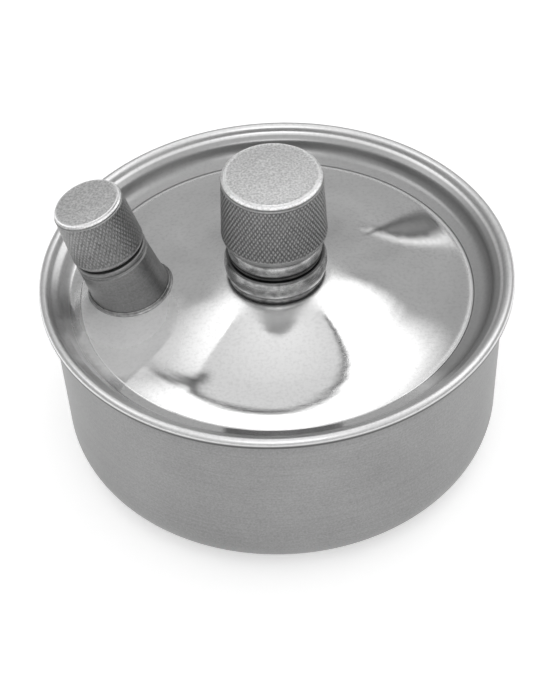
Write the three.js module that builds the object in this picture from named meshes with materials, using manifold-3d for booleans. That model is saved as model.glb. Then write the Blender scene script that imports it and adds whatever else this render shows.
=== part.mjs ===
// Spirit lamp: a round spun reservoir, a dished bright lid with a rolled rim, a screwed burner in the
// middle under a knurled cap, and a leaning filler neck at the side under a smaller knurled cap.
// Millimetres. Z is up, the lamp stands on Z = 0, the reservoir axis is the Z axis, the filler is at -X.
import * as THREE from 'three';
import manifoldModule from 'manifold-3d';

const manifoldKit = await manifoldModule();
manifoldKit.setup();

// ---------- driving sizes ----------
const RIM_RADIUS = 45;            // outside of the rolled rim
const RIM_HEIGHT = 38;            // centre of the rolled rim above the table
const BEAD_RADIUS = 1.05;         // section of the rolled rim
const SHEET = 0.8;                // spun sheet of reservoir and lid

const RIM_OVERHANG = 2.1;         // rim beyond the reservoir wall
const WALL_TAPER = 1.6;           // wall leans in by this much on its way down
const CORNER_RADIUS = 9.5;        // round corner between wall and floor
const FLARE_OUT = 0.6;            // how far the reservoir edge flares out under the rim
const FLARE_HEIGHT = 1.5;

const LID_DIP = 3.45;              // lowest ring of the lid, below the rim centre
const LID_DIP_INSET = 6.6;        // that ring inside the rim
const LID_CROWN = 2.0;            // flat land round the neck, above the rim centre
const LID_LAND = 1.4;             // land beyond the neck foot
const LID_FLARE_POWER = 1.8;      // shape of the sweep from the dip up to the land

const CAP_RADIUS = 10;            // knurled grip of the middle cap, at its lower end
const CAP_TAPER = 0.4;            // the grip narrows by this much toward the top
const CAP_WALL = 2.1;             // from the grip in to the thread crests
const CAP_TOP_THICKNESS = 1.0;
const CAP_CHAMFER = 1.25;         // from the grip up to the edge of the top
const CAP_GRIP = 12.1;            // height of the knurled band
const CAP_LIP = 1.5;              // rounded edge below the knurled band
const CAP_LIP_INSET = 0.75;
const CAP_EDGE = 0.8;             // rolled edge of the top, in from the grip
const CAP_ROLL = 0.35;            // width and depth of that rolled edge
const CAP_DOME = 0.2;
const CAP_HEADROOM = 6.35;        // cap height left above the burner for tube, wick and liner
const THREAD_PITCH = 2.0;
const THREAD_DEPTH = 0.7;
const THREAD_PLAIN_END = 1.7;     // burner above the cap thread

const NECK_FOOT_IN = 1.4;         // foot against the cap grip
const NECK_FOOT = 0.8;            // its height under the bead
const NECK_BEAD_IN = 0.3;         // bead against the cap grip
const NECK_BEAD = 4.0;
const NECK_LEDGE = 1.4;           // from the burner thread in to the hole into the reservoir
const BURNER_THREAD_LENGTH = 4.0;
const BURNER_WALL = 2.2;          // from the thread root in to the burner bore
const BURNER_BEAD_IN = 1.05;      // upper bead against the cap grip
const BURNER_BEAD = 2.9;
const WASHER = 0.5;
const WASHER_IN = 0.2;            // washer against the upper bead
const DISC_LEDGE = 0.9;           // plate beyond the burner bore
const DISC_THICKNESS = 0.8;
const TUBE_RADIUS = 3.7;
const TUBE_WALL = 0.4;
const TUBE_ABOVE_DISC = 2.0;
const TUBE_BELOW_DISC = 24;
const WICK_ABOVE_TUBE = 1.0;
const WICK_END_HEIGHT = 5.0;      // lower end of the wick above the table
const PACKING_HEIGHT = 1.3;       // soft ring in the mouth of each cap
const PACKING_WALL = 0.85;
const PACKING_SHOWN = 0.5;        // part of it below the cap
const LINER_THICKNESS = 1.1;

const FILLER_OUT_SHARE = 0.6355;  // where the filler axis meets the lid, as a share of the rim radius
const FILLER_BEARING = 174;       // degrees round from +X
const FILLER_LEAN = 17;           // degrees outward
const FILLER_SCALE = 0.714;       // filler cap against middle cap, across
const FILLER_CAP_WALL = 1.85;     // from the filler grip in to the thread crests
const FILLER_COLLAR = 7.8;
const FILLER_COLLAR_IN = 0.15;    // top of the collar against the filler cap
const FILLER_FOOT_OUT = 0.1;      // foot of the collar beyond the filler cap
const FILLER_FOOT_IN = 0.9;       // foot of the collar off its axis, toward the middle of the lid
const FILLER_FOOT_FORWARD = 0.9;  // and toward the front
const FILLER_FOOT_SPREAD = 0.3;   // the foot widens a little more where it meets the lid
const FILLER_RING = 1.0;
const FILLER_RING_IN = 0.1;       // ring against the filler cap
const FILLER_GROOVE = 0.5;
const FILLER_GROOVE_DEPTH = 0.45;
const FILLER_GRIP = 9.8;
const FILLER_LIP = 0.9;
const FILLER_CHAMFER = 1.05;
const FILLER_PITCH = 1.6;
const FILLER_THREAD_LENGTH = 4.8;
const FILLER_WALL = 1.0;          // from the thread root in to the filler bore
const SOLDER_WIDTH = 0.4;
const SOLDER_HEIGHT = 0.55;

// ---------- clearances ----------
const SEAT = 0.1;                 // between faces that rest on each other
const CUT_GAP = 0.3;              // between parts cut to follow one another
const SLIP = 0.15;                // round soldered or slipped fits
const RUN = 0.35;                 // round threads and turning fits
const WICK_PLAY = 0.2;            // round the wick in its tube

// ---------- radii that follow from the sizes above ----------
const wallTopRadius = RIM_RADIUS - RIM_OVERHANG;
const wallLowRadius = wallTopRadius - WALL_TAPER;
const lidDipRadius = RIM_RADIUS - LID_DIP_INSET;
const capThreadRadius = CAP_RADIUS - CAP_WALL;
const burnerThreadRadius = capThreadRadius - 2 * SEAT;
const neckFootRadius = CAP_RADIUS - NECK_FOOT_IN;
const neckBeadRadius = CAP_RADIUS - NECK_BEAD_IN;
const neckBoreRadius = burnerThreadRadius - NECK_LEDGE;
const burnerBeadRadius = CAP_RADIUS - BURNER_BEAD_IN;
const burnerBoreRadius = capThreadRadius - THREAD_DEPTH - BURNER_WALL;
const discRadius = burnerBoreRadius + DISC_LEDGE;
const wickRadius = TUBE_RADIUS - TUBE_WALL - WICK_PLAY;
const lidLandRadius = neckFootRadius + LID_LAND;
const fillerCapRadius = CAP_RADIUS * FILLER_SCALE;
const fillerThreadRadius = fillerCapRadius - FILLER_CAP_WALL;
const fillerBoreRadius = fillerThreadRadius - THREAD_DEPTH - FILLER_WALL;
const collarTopRadius = fillerCapRadius - FILLER_COLLAR_IN;
const collarFootRadius = fillerCapRadius + FILLER_FOOT_OUT;
const fillerOut = RIM_RADIUS * FILLER_OUT_SHARE;

const FOOT_DEPTH = 4;             // stock below the filler foot before it is fitted to the lid

// ---------- mesh steps ----------
const ROUND = 32;                 // steps round the small turned parts
const PLAIN = 24;                 // steps round the plain rings and discs
const WIDE = 48;                  // steps round the reservoir and lid
const THREAD_ROWS = 4;            // rows per turn of thread
const SWEEP_ROWS = 7;            // rows down the lid sweep
const ARC_ROWS = 5;

const RADIANS = Math.PI / 180;

// ---------- finishes ----------
const finish = (color, roughness, metalness) =>
  new THREE.MeshStandardMaterial({ color, roughness, metalness });
const SATIN = finish(0x9b9b98, 0.5, 1.0);
const BRIGHT = finish(0xd6d7d6, 0.12, 1.0);
const KNURLED = finish(0x85868a, 0.4, 1.0);
const BRASS = finish(0xb08d4c, 0.35, 1.0);
const SOLDER = finish(0x8b8d8f, 0.45, 1.0);
const SOFT_BLACK = finish(0x26262a, 0.85, 0.0);
const CORK = finish(0xa57c50, 0.9, 0.0);
const COTTON = finish(0xe4dcc8, 0.95, 0.0);

// ---------- shaping helpers ----------
const point = (radius, height) => new THREE.Vector2(radius, height);

/** Points of an arc round (radius, height), from one angle to another in degrees. */
function arc(radius, height, size, from, to, rows = ARC_ROWS) {
  return Array.from({ length: rows + 1 }, (_, i) => {
    const angle = (from + ((to - from) * i) / rows) * RADIANS;
    return point(radius + size * Math.cos(angle), height + size * Math.sin(angle));
  });
}

/** Points of a barrel-shaped bead from one height to another, between two radii. */
function barrel(low, high, edge, crest, rows = ARC_ROWS - 1) {
  return Array.from({ length: rows + 1 }, (_, i) => {
    const along = i / rows;
    return point(edge + (crest - edge) * Math.sqrt(Math.sin(Math.PI * along)), low + (high - low) * along);
  });
}

/** Turn the triangles round when the surface faces inward. */
function faceOut(geometry) {
  const place = geometry.getAttribute('position');
  const index = geometry.getIndex().array;
  const [a, b, c] = [new THREE.Vector3(), new THREE.Vector3(), new THREE.Vector3()];
  let volume = 0;
  for (let i = 0; i < index.length; i += 3) {
    a.fromBufferAttribute(place, index[i]);
    b.fromBufferAttribute(place, index[i + 1]);
    c.fromBufferAttribute(place, index[i + 2]);
    volume += a.dot(b.cross(c));
  }
  if (volume < 0) {
    for (let i = 0; i < index.length; i += 3) [index[i + 1], index[i + 2]] = [index[i + 2], index[i + 1]];
  }
  geometry.computeVertexNormals();
  return geometry;
}

/** A body turned round Z from its profile of (radius, height) points. */
function turned(profile, steps = ROUND) {
  return faceOut(new THREE.LatheGeometry(profile, steps).rotateX(Math.PI / 2));
}

/** A ring or tube: its profile is joined back to its own first point. */
const ring = (profile, steps = ROUND) => turned([...profile, profile[0].clone()], steps);

const tube = (inner, outer, low, high, steps = PLAIN) =>
  ring([point(inner, low), point(outer, low), point(outer, high), point(inner, high)], steps);

/** Profile rows for a thread zone at its root radius. */
function threadRows(root, low, length, pitch) {
  const rows = Math.round((length / pitch) * THREAD_ROWS);
  return Array.from({ length: rows + 1 }, (_, i) => point(root, low + (length * i) / rows));
}

/** Raise a right-hand thread on the rows of a turned body between two heights. */
function cutThread(geometry, root, depth, low, length, pitch) {
  const place = geometry.getAttribute('position');
  for (let i = 0; i < place.count; i += 1) {
    const [x, y, z] = [place.getX(i), place.getY(i), place.getZ(i)];
    const radius = Math.hypot(x, y);
    const inside = z > low - 1e-6 && z < low + length + 1e-6 && Math.abs(radius - root) < 1e-6;
    if (!inside) continue;
    const turn = (z - low) / pitch - Math.atan2(y, x) / (2 * Math.PI);
    const wave = 0.5 + 0.5 * Math.cos(2 * Math.PI * turn);
    const runOut = Math.min(1, (z - low) / (pitch / 2), (low + length - z) / (pitch / 2));
    const scale = 1 + (depth * wave * Math.max(0, runOut)) / radius;
    place.setXY(i, x * scale, y * scale);
  }
  geometry.computeVertexNormals();
  return geometry;
}

function toManifold(geometry) {
  const place = geometry.getAttribute('position').array;
  const index = geometry.getIndex().array;
  const known = new Map();
  const points = [];
  const renumbered = new Uint32Array(place.length / 3);
  for (let i = 0; i < place.length; i += 3) {
    const spot = [place[i], place[i + 1], place[i + 2]];
    const name = spot.map((value) => Math.round(value * 1e5)).join();
    if (!known.has(name)) {
      known.set(name, points.length / 3);
      points.push(...spot);
    }
    renumbered[i / 3] = known.get(name);
  }
  const triangles = [];
  for (let i = 0; i < index.length; i += 3) {
    const corner = [renumbered[index[i]], renumbered[index[i + 1]], renumbered[index[i + 2]]];
    if (new Set(corner).size === 3) triangles.push(...corner);
  }
  return new manifoldKit.Manifold(new manifoldKit.Mesh({
    numProp: 3,
    vertProperties: new Float32Array(points),
    triVerts: new Uint32Array(triangles),
  }));
}

function fromManifold(solid) {
  const mesh = solid.getMesh();
  const geometry = new THREE.BufferGeometry();
  geometry.setAttribute('position', new THREE.BufferAttribute(new Float32Array(mesh.vertProperties), 3));
  geometry.setIndex(Array.from(mesh.triVerts));
  geometry.computeVertexNormals();
  return geometry;
}

const subtract = (body, tool) => fromManifold(toManifold(body).subtract(toManifold(tool)));
const common = (body, tool) => fromManifold(toManifold(body).intersect(toManifold(tool)));

// ---------- lid surface ----------
const lidLand = RIM_HEIGHT + LID_CROWN;
const lidLow = RIM_HEIGHT - LID_DIP;

/** Height of the lid's upper face at a radius, from the neck land out to the dip. */
function lidTop(radius) {
  if (radius <= lidLandRadius) return lidLand;
  if (radius >= lidDipRadius) return lidLow;
  const out = (lidDipRadius - radius) / (lidDipRadius - lidLandRadius);
  return lidLow + (lidLand - lidLow) * out ** LID_FLARE_POWER;
}

const lidSweep = (drop) => Array.from({ length: SWEEP_ROWS + 1 }, (_, i) => {
  const radius = lidLandRadius + ((lidDipRadius - lidLandRadius) * i) / SWEEP_ROWS;
  return point(radius, lidTop(radius) - drop);
});

// ---------- placing along the filler ----------
const fillerTurn = new THREE.Matrix4()
  .makeRotationZ(FILLER_BEARING * RADIANS)
  .multiply(new THREE.Matrix4().makeRotationY(FILLER_LEAN * RADIANS));
const fillerFoot = new THREE.Vector3(
  fillerOut * Math.cos(FILLER_BEARING * RADIANS),
  fillerOut * Math.sin(FILLER_BEARING * RADIANS),
  lidTop(fillerOut),
);
const onFiller = (geometry) => geometry.applyMatrix4(fillerTurn.clone().setPosition(fillerFoot));

// ---------- reservoir ----------
function reservoirBowl() {
  const top = RIM_HEIGHT - BEAD_RADIUS - CUT_GAP;
  const floorEdge = wallLowRadius - CORNER_RADIUS;
  const outer = [
    point(0, 0),
    ...arc(floorEdge, CORNER_RADIUS, CORNER_RADIUS, -90, 0),
    point(wallTopRadius, top - FLARE_HEIGHT),
    point(wallTopRadius + FLARE_OUT * 0.75, top - FLARE_HEIGHT * 0.4),
    point(wallTopRadius + FLARE_OUT, top),
  ];
  const inner = [
    point(wallTopRadius + FLARE_OUT - SHEET, top),
    point(wallTopRadius - SHEET, top - FLARE_HEIGHT),
    ...arc(floorEdge, CORNER_RADIUS, CORNER_RADIUS - SHEET, 0, -90),
    point(0, SHEET),
  ];
  return turned([...outer, ...inner], WIDE);
}

function reservoirLid() {
  const bead = RIM_RADIUS - BEAD_RADIUS;
  const wall = wallTopRadius - SHEET - CUT_GAP;   // outside of the lid where it dips into the reservoir
  const upper = [
    point(neckBoreRadius, lidLand),
    ...lidSweep(0),
    point(wall - 2.6 * SHEET, lidLow + 0.45),
    point(wall - 1.5 * SHEET, lidLow + 1.3),
    point(wall - SHEET, lidLow + 2.4),
  ];
  const roll = arc(bead, RIM_HEIGHT, BEAD_RADIUS, 180, -140, 2 * ARC_ROWS - 1);
  const lower = [
    point(wall, lidLow + 2.0),
    point(wall - 0.7 * SHEET, lidLow + 0.8),
    point(wall - 2.2 * SHEET, lidLow - 0.35),
    ...lidSweep(SHEET).reverse(),
    point(neckBoreRadius, lidLand - SHEET),
  ];
  const plate = ring([...upper, ...roll, ...lower], WIDE);
  const hole = onFiller(turned([
    point(0, -2 * FOOT_DEPTH), point(fillerBoreRadius, -2 * FOOT_DEPTH),
    point(fillerBoreRadius, 2 * FOOT_DEPTH), point(0, 2 * FOOT_DEPTH),
  ], PLAIN));
  return subtract(plate, hole);
}

/** Everything below a face that lies a given lift above the lid: fits feet and solder to the lid. */
function underLid(lift) {
  return turned([
    point(0, lidLow - 12),
    point(RIM_RADIUS, lidLow - 12),
    point(RIM_RADIUS, lidLow + lift),
    ...lidSweep(-lift).reverse(),
    point(0, lidLand + lift),
  ], WIDE);
}

/** A soldered fillet round a foot: wide below, narrow above, hollow between. */
function solderFillet(inner, low) {
  return ring([
    point(inner, low),
    point(inner + SOLDER_WIDTH, low),
    point(inner + SOLDER_WIDTH * 0.4, low + SOLDER_HEIGHT * 0.35),
    point(inner + SOLDER_WIDTH * 0.12, low + SOLDER_HEIGHT),
    point(inner, low + SOLDER_HEIGHT),
  ]);
}

// ---------- neck and burner ----------
const neckFoot = lidLand + SEAT;
const neckTop = neckFoot + NECK_FOOT + NECK_BEAD;
const burnerFoot = neckTop + 2 * SEAT + WASHER;
const burnerBeadTop = burnerFoot + BURNER_BEAD;
const burnerTop = burnerBeadTop + PACKING_SHOWN + CAP_LIP + CAP_GRIP + CAP_CHAMFER - CAP_HEADROOM;
const capThreadLow = burnerBeadTop + PACKING_HEIGHT;
const capThreadLength = burnerTop - THREAD_PLAIN_END - capThreadLow;
const threadBore = burnerThreadRadius + RUN;

function neckCollar() {
  const boreFloor = neckTop - BURNER_THREAD_LENGTH - RUN;
  const underTop = neckFoot + NECK_FOOT;
  const waist = neckBeadRadius - 0.6;
  return ring([
    point(neckBoreRadius, neckFoot),
    point(neckFootRadius, neckFoot),
    point(neckFootRadius, underTop),
    ...barrel(underTop, neckTop, waist, neckBeadRadius),
    point(threadBore, neckTop),
    point(threadBore, boreFloor),
    point(neckBoreRadius, boreFloor),
  ]);
}

function neckWasher() {
  return tube(threadBore, burnerBeadRadius - WASHER_IN, neckTop + SEAT, neckTop + SEAT + WASHER);
}

function burnerCollar() {
  const root = burnerThreadRadius - THREAD_DEPTH;
  const capRoot = capThreadRadius - THREAD_DEPTH;
  const low = neckTop - BURNER_THREAD_LENGTH;
  const waist = burnerBeadRadius - 0.5;
  const seat = burnerTop - DISC_THICKNESS - SEAT;
  const body = ring([
    point(burnerBoreRadius, low),
    ...threadRows(root, low, BURNER_THREAD_LENGTH, THREAD_PITCH),
    point(root, burnerFoot),
    ...barrel(burnerFoot, burnerBeadTop, waist, burnerBeadRadius),
    point(capRoot, burnerBeadTop),
    ...threadRows(capRoot, capThreadLow, capThreadLength, THREAD_PITCH),
    point(capRoot, burnerTop - 0.4),
    point(capRoot - 0.4, burnerTop),
    point(discRadius + SLIP, burnerTop),
    point(discRadius + SLIP, seat),
    point(burnerBoreRadius, seat),
  ]);
  cutThread(body, root, THREAD_DEPTH, low, BURNER_THREAD_LENGTH, THREAD_PITCH);
  return cutThread(body, capRoot, THREAD_DEPTH, capThreadLow, capThreadLength, THREAD_PITCH);
}

const discFoot = burnerTop - DISC_THICKNESS;
const burnerDisc = () => tube(TUBE_RADIUS + SLIP, discRadius, discFoot, burnerTop);
const tubeTop = burnerTop + TUBE_ABOVE_DISC;
const wickTube = () => tube(TUBE_RADIUS - TUBE_WALL, TUBE_RADIUS, discFoot - TUBE_BELOW_DISC, tubeTop);

function wickCord() {
  const top = tubeTop + WICK_ABOVE_TUBE;
  return turned([
    point(0, WICK_END_HEIGHT),
    point(wickRadius, WICK_END_HEIGHT),
    point(wickRadius, top - 0.5),
    point(wickRadius * 0.8, top),
    point(0, top),
  ], PLAIN);
}

// ---------- caps ----------
/** The sizes that make one screw cap, its packing ring and its liner. */
function capSizes(shoulder, across, lip, grip, chamfer, threadRadius) {
  const mouth = shoulder + PACKING_SHOWN;
  const top = mouth + lip + grip + chamfer;
  return {
    mouth, top, across, lip, grip, chamfer,
    scale: across / CAP_RADIUS,
    bore: threadRadius + RUN,
    packing: { inner: threadRadius + 0.6 * RUN, outer: threadRadius + PACKING_WALL, low: shoulder + SEAT },
    ceiling: top - CAP_TOP_THICKNESS,
  };
}

function capShell(size) {
  const { mouth, top, across, lip, grip, chamfer, scale, bore, packing, ceiling } = size;
  const gripTop = across - CAP_TAPER * scale;
  const edge = gripTop - CAP_EDGE * scale;
  const inset = CAP_LIP_INSET * scale;
  const recess = packing.outer + SEAT;
  const recessTop = packing.low + PACKING_HEIGHT + SEAT;
  return turned([
    point(0, top + CAP_DOME),
    point(across * 0.55, top + CAP_DOME * 0.7),
    point(edge - CAP_ROLL, top),
    point(edge, top - CAP_ROLL * 0.6),
    point(gripTop - CAP_ROLL * 0.3, top - 2 * CAP_ROLL),
    point(gripTop, top - chamfer),
    point(across, mouth + lip),
    point(across - inset * 0.3, mouth + lip * 0.45),
    point(across - inset, mouth),
    point(recess, mouth),
    point(recess, recessTop),
    point(bore, recessTop + SEAT),
    point(bore, ceiling),
    point(0, ceiling),
  ]);
}

const capPacking = ({ packing }) =>
  tube(packing.inner, packing.outer, packing.low, packing.low + PACKING_HEIGHT);

function capLiner({ bore, ceiling }) {
  const high = ceiling - SEAT;
  return turned([
    point(0, high - LINER_THICKNESS),
    point(bore - RUN, high - LINER_THICKNESS),
    point(bore - RUN, high),
    point(0, high),
  ], PLAIN);
}

const middleCap = capSizes(burnerBeadTop, CAP_RADIUS, CAP_LIP, CAP_GRIP, CAP_CHAMFER, capThreadRadius);
const fillerShoulder = FILLER_COLLAR + FILLER_GROOVE + FILLER_RING;
const fillerCap = capSizes(fillerShoulder, fillerCapRadius, FILLER_LIP, FILLER_GRIP,
  FILLER_CHAMFER, fillerThreadRadius);

// ---------- filler ----------
/** Carry the outside of a foot off its axis, most below and nothing at the collar's top. */
function shiftFoot(geometry) {
  const place = geometry.getAttribute('position');
  for (let i = 0; i < place.count; i += 1) {
    const share = Math.max(0, 1 - place.getZ(i) / (FILLER_COLLAR - 0.3));
    const inBore = Math.hypot(place.getX(i), place.getY(i)) < fillerBoreRadius + 1e-6;
    if (inBore) continue;
    place.setX(i, place.getX(i) - FILLER_FOOT_IN * share);
    place.setY(i, place.getY(i) + FILLER_FOOT_FORWARD * share);
  }
  geometry.computeVertexNormals();
  return geometry;
}

function fillerNeck() {
  const root = fillerThreadRadius - THREAD_DEPTH;
  const threadLow = fillerShoulder + PACKING_HEIGHT;
  const mouth = fillerCap.ceiling - LINER_THICKNESS - 3 * SEAT;
  const ringRadius = fillerCapRadius - FILLER_RING_IN;
  const body = ring([
    point(fillerBoreRadius, -FOOT_DEPTH),
    point(collarFootRadius + FILLER_FOOT_SPREAD, -FOOT_DEPTH),
    point(collarFootRadius, 0),
    point(collarTopRadius, FILLER_COLLAR - 0.3),
    point(collarTopRadius - FILLER_GROOVE_DEPTH, FILLER_COLLAR),
    point(ringRadius - FILLER_GROOVE_DEPTH, FILLER_COLLAR + FILLER_GROOVE * 0.5),
    ...barrel(FILLER_COLLAR + FILLER_GROOVE, fillerShoulder, ringRadius - FILLER_GROOVE_DEPTH, ringRadius),
    point(root, fillerShoulder),
    ...threadRows(root, threadLow, FILLER_THREAD_LENGTH, FILLER_PITCH),
    point(root, mouth - 0.3),
    point(root - 0.3, mouth),
    point(fillerBoreRadius, mouth),
  ]);
  cutThread(body, root, THREAD_DEPTH, threadLow, FILLER_THREAD_LENGTH, FILLER_PITCH);
  return subtract(onFiller(shiftFoot(body)), underLid(CUT_GAP));
}

/** Solder that follows the lid round the leaning foot of the filler. */
function fillerSolder() {
  const inner = collarFootRadius + FILLER_FOOT_SPREAD + SLIP;
  const sleeve = onFiller(shiftFoot(tube(inner, inner + SOLDER_WIDTH, -FOOT_DEPTH, FOOT_DEPTH, ROUND)));
  const above = subtract(sleeve, underLid(CUT_GAP));
  return common(above, underLid(CUT_GAP + SOLDER_HEIGHT));
}

// ---------- the lamp ----------
const lamp = new THREE.Group();
function add(name, geometry, material) {
  const mesh = new THREE.Mesh(geometry, material);
  mesh.name = name;
  lamp.add(mesh);
}

add('reservoir_bowl', reservoirBowl(), SATIN);
add('reservoir_lid', reservoirLid(), BRIGHT);
add('neck_collar', neckCollar(), BRIGHT);
add('neck_solder', solderFillet(neckFootRadius + SLIP, neckFoot), SOLDER);
add('neck_washer', neckWasher(), SOFT_BLACK);
add('burner_collar', burnerCollar(), BRIGHT);
add('burner_disc', burnerDisc(), BRASS);
add('wick_tube', wickTube(), BRASS);
add('wick', wickCord(), COTTON);
add('middle_cap', capShell(middleCap), KNURLED);
add('middle_cap_liner', capLiner(middleCap), CORK);
add('middle_cap_packing', capPacking(middleCap), SOFT_BLACK);
add('filler_neck', fillerNeck(), SATIN);
add('filler_solder', fillerSolder(), SOLDER);
add('filler_cap', onFiller(capShell(fillerCap)), KNURLED);
add('filler_cap_liner', onFiller(capLiner(fillerCap)), CORK);
add('filler_cap_packing', onFiller(capPacking(fillerCap)), SOFT_BLACK);

export default lamp;
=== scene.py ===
"""A round spun-metal spirit lamp: the shown surfaces, their finishes, the floor, the studio sky and the camera.

The lamp stands on Z = 0 with its axis on Z. The leaning filler neck is on the -X side and the front is -Y.
Sizes in the classes are in millimetres, and every mesh is stored in metres in the frame of the solids.
"""

import logging
import math
from collections.abc import Callable, Sequence
from dataclasses import dataclass, field
from enum import Enum

import bpy
import numpy as np
from mathutils import Matrix, Vector


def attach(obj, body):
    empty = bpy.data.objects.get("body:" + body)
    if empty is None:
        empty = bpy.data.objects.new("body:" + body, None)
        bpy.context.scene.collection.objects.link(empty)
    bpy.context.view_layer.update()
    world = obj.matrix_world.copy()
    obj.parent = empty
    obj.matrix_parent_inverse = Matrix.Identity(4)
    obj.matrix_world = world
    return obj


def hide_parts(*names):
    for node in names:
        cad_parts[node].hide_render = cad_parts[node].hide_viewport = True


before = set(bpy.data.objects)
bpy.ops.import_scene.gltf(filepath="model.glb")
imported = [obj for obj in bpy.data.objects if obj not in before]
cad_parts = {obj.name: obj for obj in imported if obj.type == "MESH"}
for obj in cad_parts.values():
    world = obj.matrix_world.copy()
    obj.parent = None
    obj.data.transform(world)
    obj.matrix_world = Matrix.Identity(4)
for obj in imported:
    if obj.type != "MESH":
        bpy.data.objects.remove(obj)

LOG = logging.getLogger("spirit_lamp")
MM = 0.001
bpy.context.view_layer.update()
PLAIN_STEPS = 128      # steps round plain rings and discs
THREADED_STEPS = 160   # steps round threaded pieces
THREAD_ROWS = 16       # profile rows per turn of thread
DIAMOND_STEPS = 8      # steps and rows across one diamond of a knurl
HALVINGS = 40          # halvings of an interval when a place on the lid is looked for
TINY = 1e-6
Field = Callable[[np.ndarray, np.ndarray, np.ndarray], np.ndarray]  # of radius, angle and height
Socket = bpy.types.NodeSocket
Colour = tuple[float, float, float, float]


class Body(Enum):
    """The moving groups of the lamp that pieces ride on."""

    LAMP = "lamp"
    BURNER_WASHER = "burner_washer"
    BURNER = "burner"
    WICK = "wick_cord"
    MIDDLE_LINER = "middle_liner"
    MIDDLE_PACKING = "middle_packing"
    MIDDLE_GRIP = "middle_grip"
    FILLER_LINER = "filler_liner"
    FILLER_PACKING = "filler_packing"
    FILLER_GRIP = "filler_grip"


class Slot(Enum):
    """The record's material slots."""

    SATIN = "satin_metal"
    BRIGHT = "bright_metal"
    KNURLED = "knurled_metal"
    BRASS = "brass"
    SOLDER = "solder"
    PACKING = "packing"
    CORK = "cork"
    COTTON = "cotton"


# ---------------------------------------------------------------- node sheets


class Nodes:
    """A small writer for one shader node tree."""

    def __init__(self, tree: bpy.types.NodeTree) -> None:
        """Take an empty tree.

        Args:
            tree: the tree to write in.
        """
        self.tree = tree
        tree.nodes.clear()

    def put(self, kind: str, inputs: dict | None = None, **settings: object) -> bpy.types.Node:
        """Add a node.

        Args:
            kind: node type without its "ShaderNode" start.
            inputs: socket name or number to a value or to another node's output.
            settings: properties of the node.

        Returns:
            The new node.
        """
        node = self.tree.nodes.new("ShaderNode" + kind)
        for key, value in settings.items():
            setattr(node, key, value)
        for key, value in (inputs or {}).items():
            self.feed(node.inputs[key], value)
        return node

    def feed(self, socket: Socket, value: object) -> None:
        """Link an output to a socket, or store a constant in it.

        Args:
            socket: the input to fill.
            value: an output socket or a constant.
        """
        if isinstance(value, Socket):
            self.tree.links.new(value, socket)
        else:
            socket.default_value = value

    def noise(self, at: Socket, scale: float, detail: float = 3.0,
              rough: float = 0.55) -> Socket:
        """Noise between 0 and 1 at coordinates.

        Args:
            at: coordinates.
            scale: cells per unit.
            detail: octaves.
            rough: share of each finer octave.

        Returns:
            The factor output.
        """
        made = self.put("TexNoise", {"Vector": at, "Scale": scale, "Detail": detail, "Roughness": rough})
        return made.outputs["Factor"] if "Factor" in made.outputs else made.outputs["Fac"]

    def span(self, value: Socket, low: float, high: float, to_low: float,
             to_high: float) -> Socket:
        """Map a value from one range onto another, clamped.

        Args:
            value: the value.
            low: value that gives to_low.
            high: value that gives to_high.
            to_low: result at low.
            to_high: result at high.

        Returns:
            The result output.
        """
        return self.put("MapRange", {"Value": value, "From Min": low, "From Max": high,
                                     "To Min": to_low, "To Max": to_high}).outputs["Result"]

    def blend(self, share: Socket, first: object, second: object) -> Socket:
        """Mix two colours.

        Args:
            share: 0 for the first, 1 for the second.
            first: colour or colour output.
            second: colour or colour output.

        Returns:
            The colour output.
        """
        mix = self.put("Mix", data_type="RGBA")
        self.feed(mix.inputs["Factor"], share)
        self.feed(mix.inputs[6], first)
        self.feed(mix.inputs[7], second)
        return mix.outputs[2]

    def sum(self, first: object, second: object = 0.0, operation: str = "ADD") -> Socket:
        """Combine two numbers with a math operation.

        Args:
            first: number or output.
            second: number or output.
            operation: the node's operation.

        Returns:
            The value output.
        """
        return self.put("Math", {0: first, 1: second}, operation=operation).outputs[0]

    def scaled(self, value: Socket, by: float, plus: float = 0.0) -> Socket:
        """A number times a constant plus a constant."""
        return self.put("Math", {0: value, 1: by, 2: plus}, operation="MULTIPLY_ADD").outputs[0]

    def length(self, x: Socket, y: Socket) -> Socket:
        """Square root of the sum of two squares."""
        return self.sum(self.sum(self.sum(x, x, "MULTIPLY"), self.sum(y, y, "MULTIPLY")), 0.5, "POWER")


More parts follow.
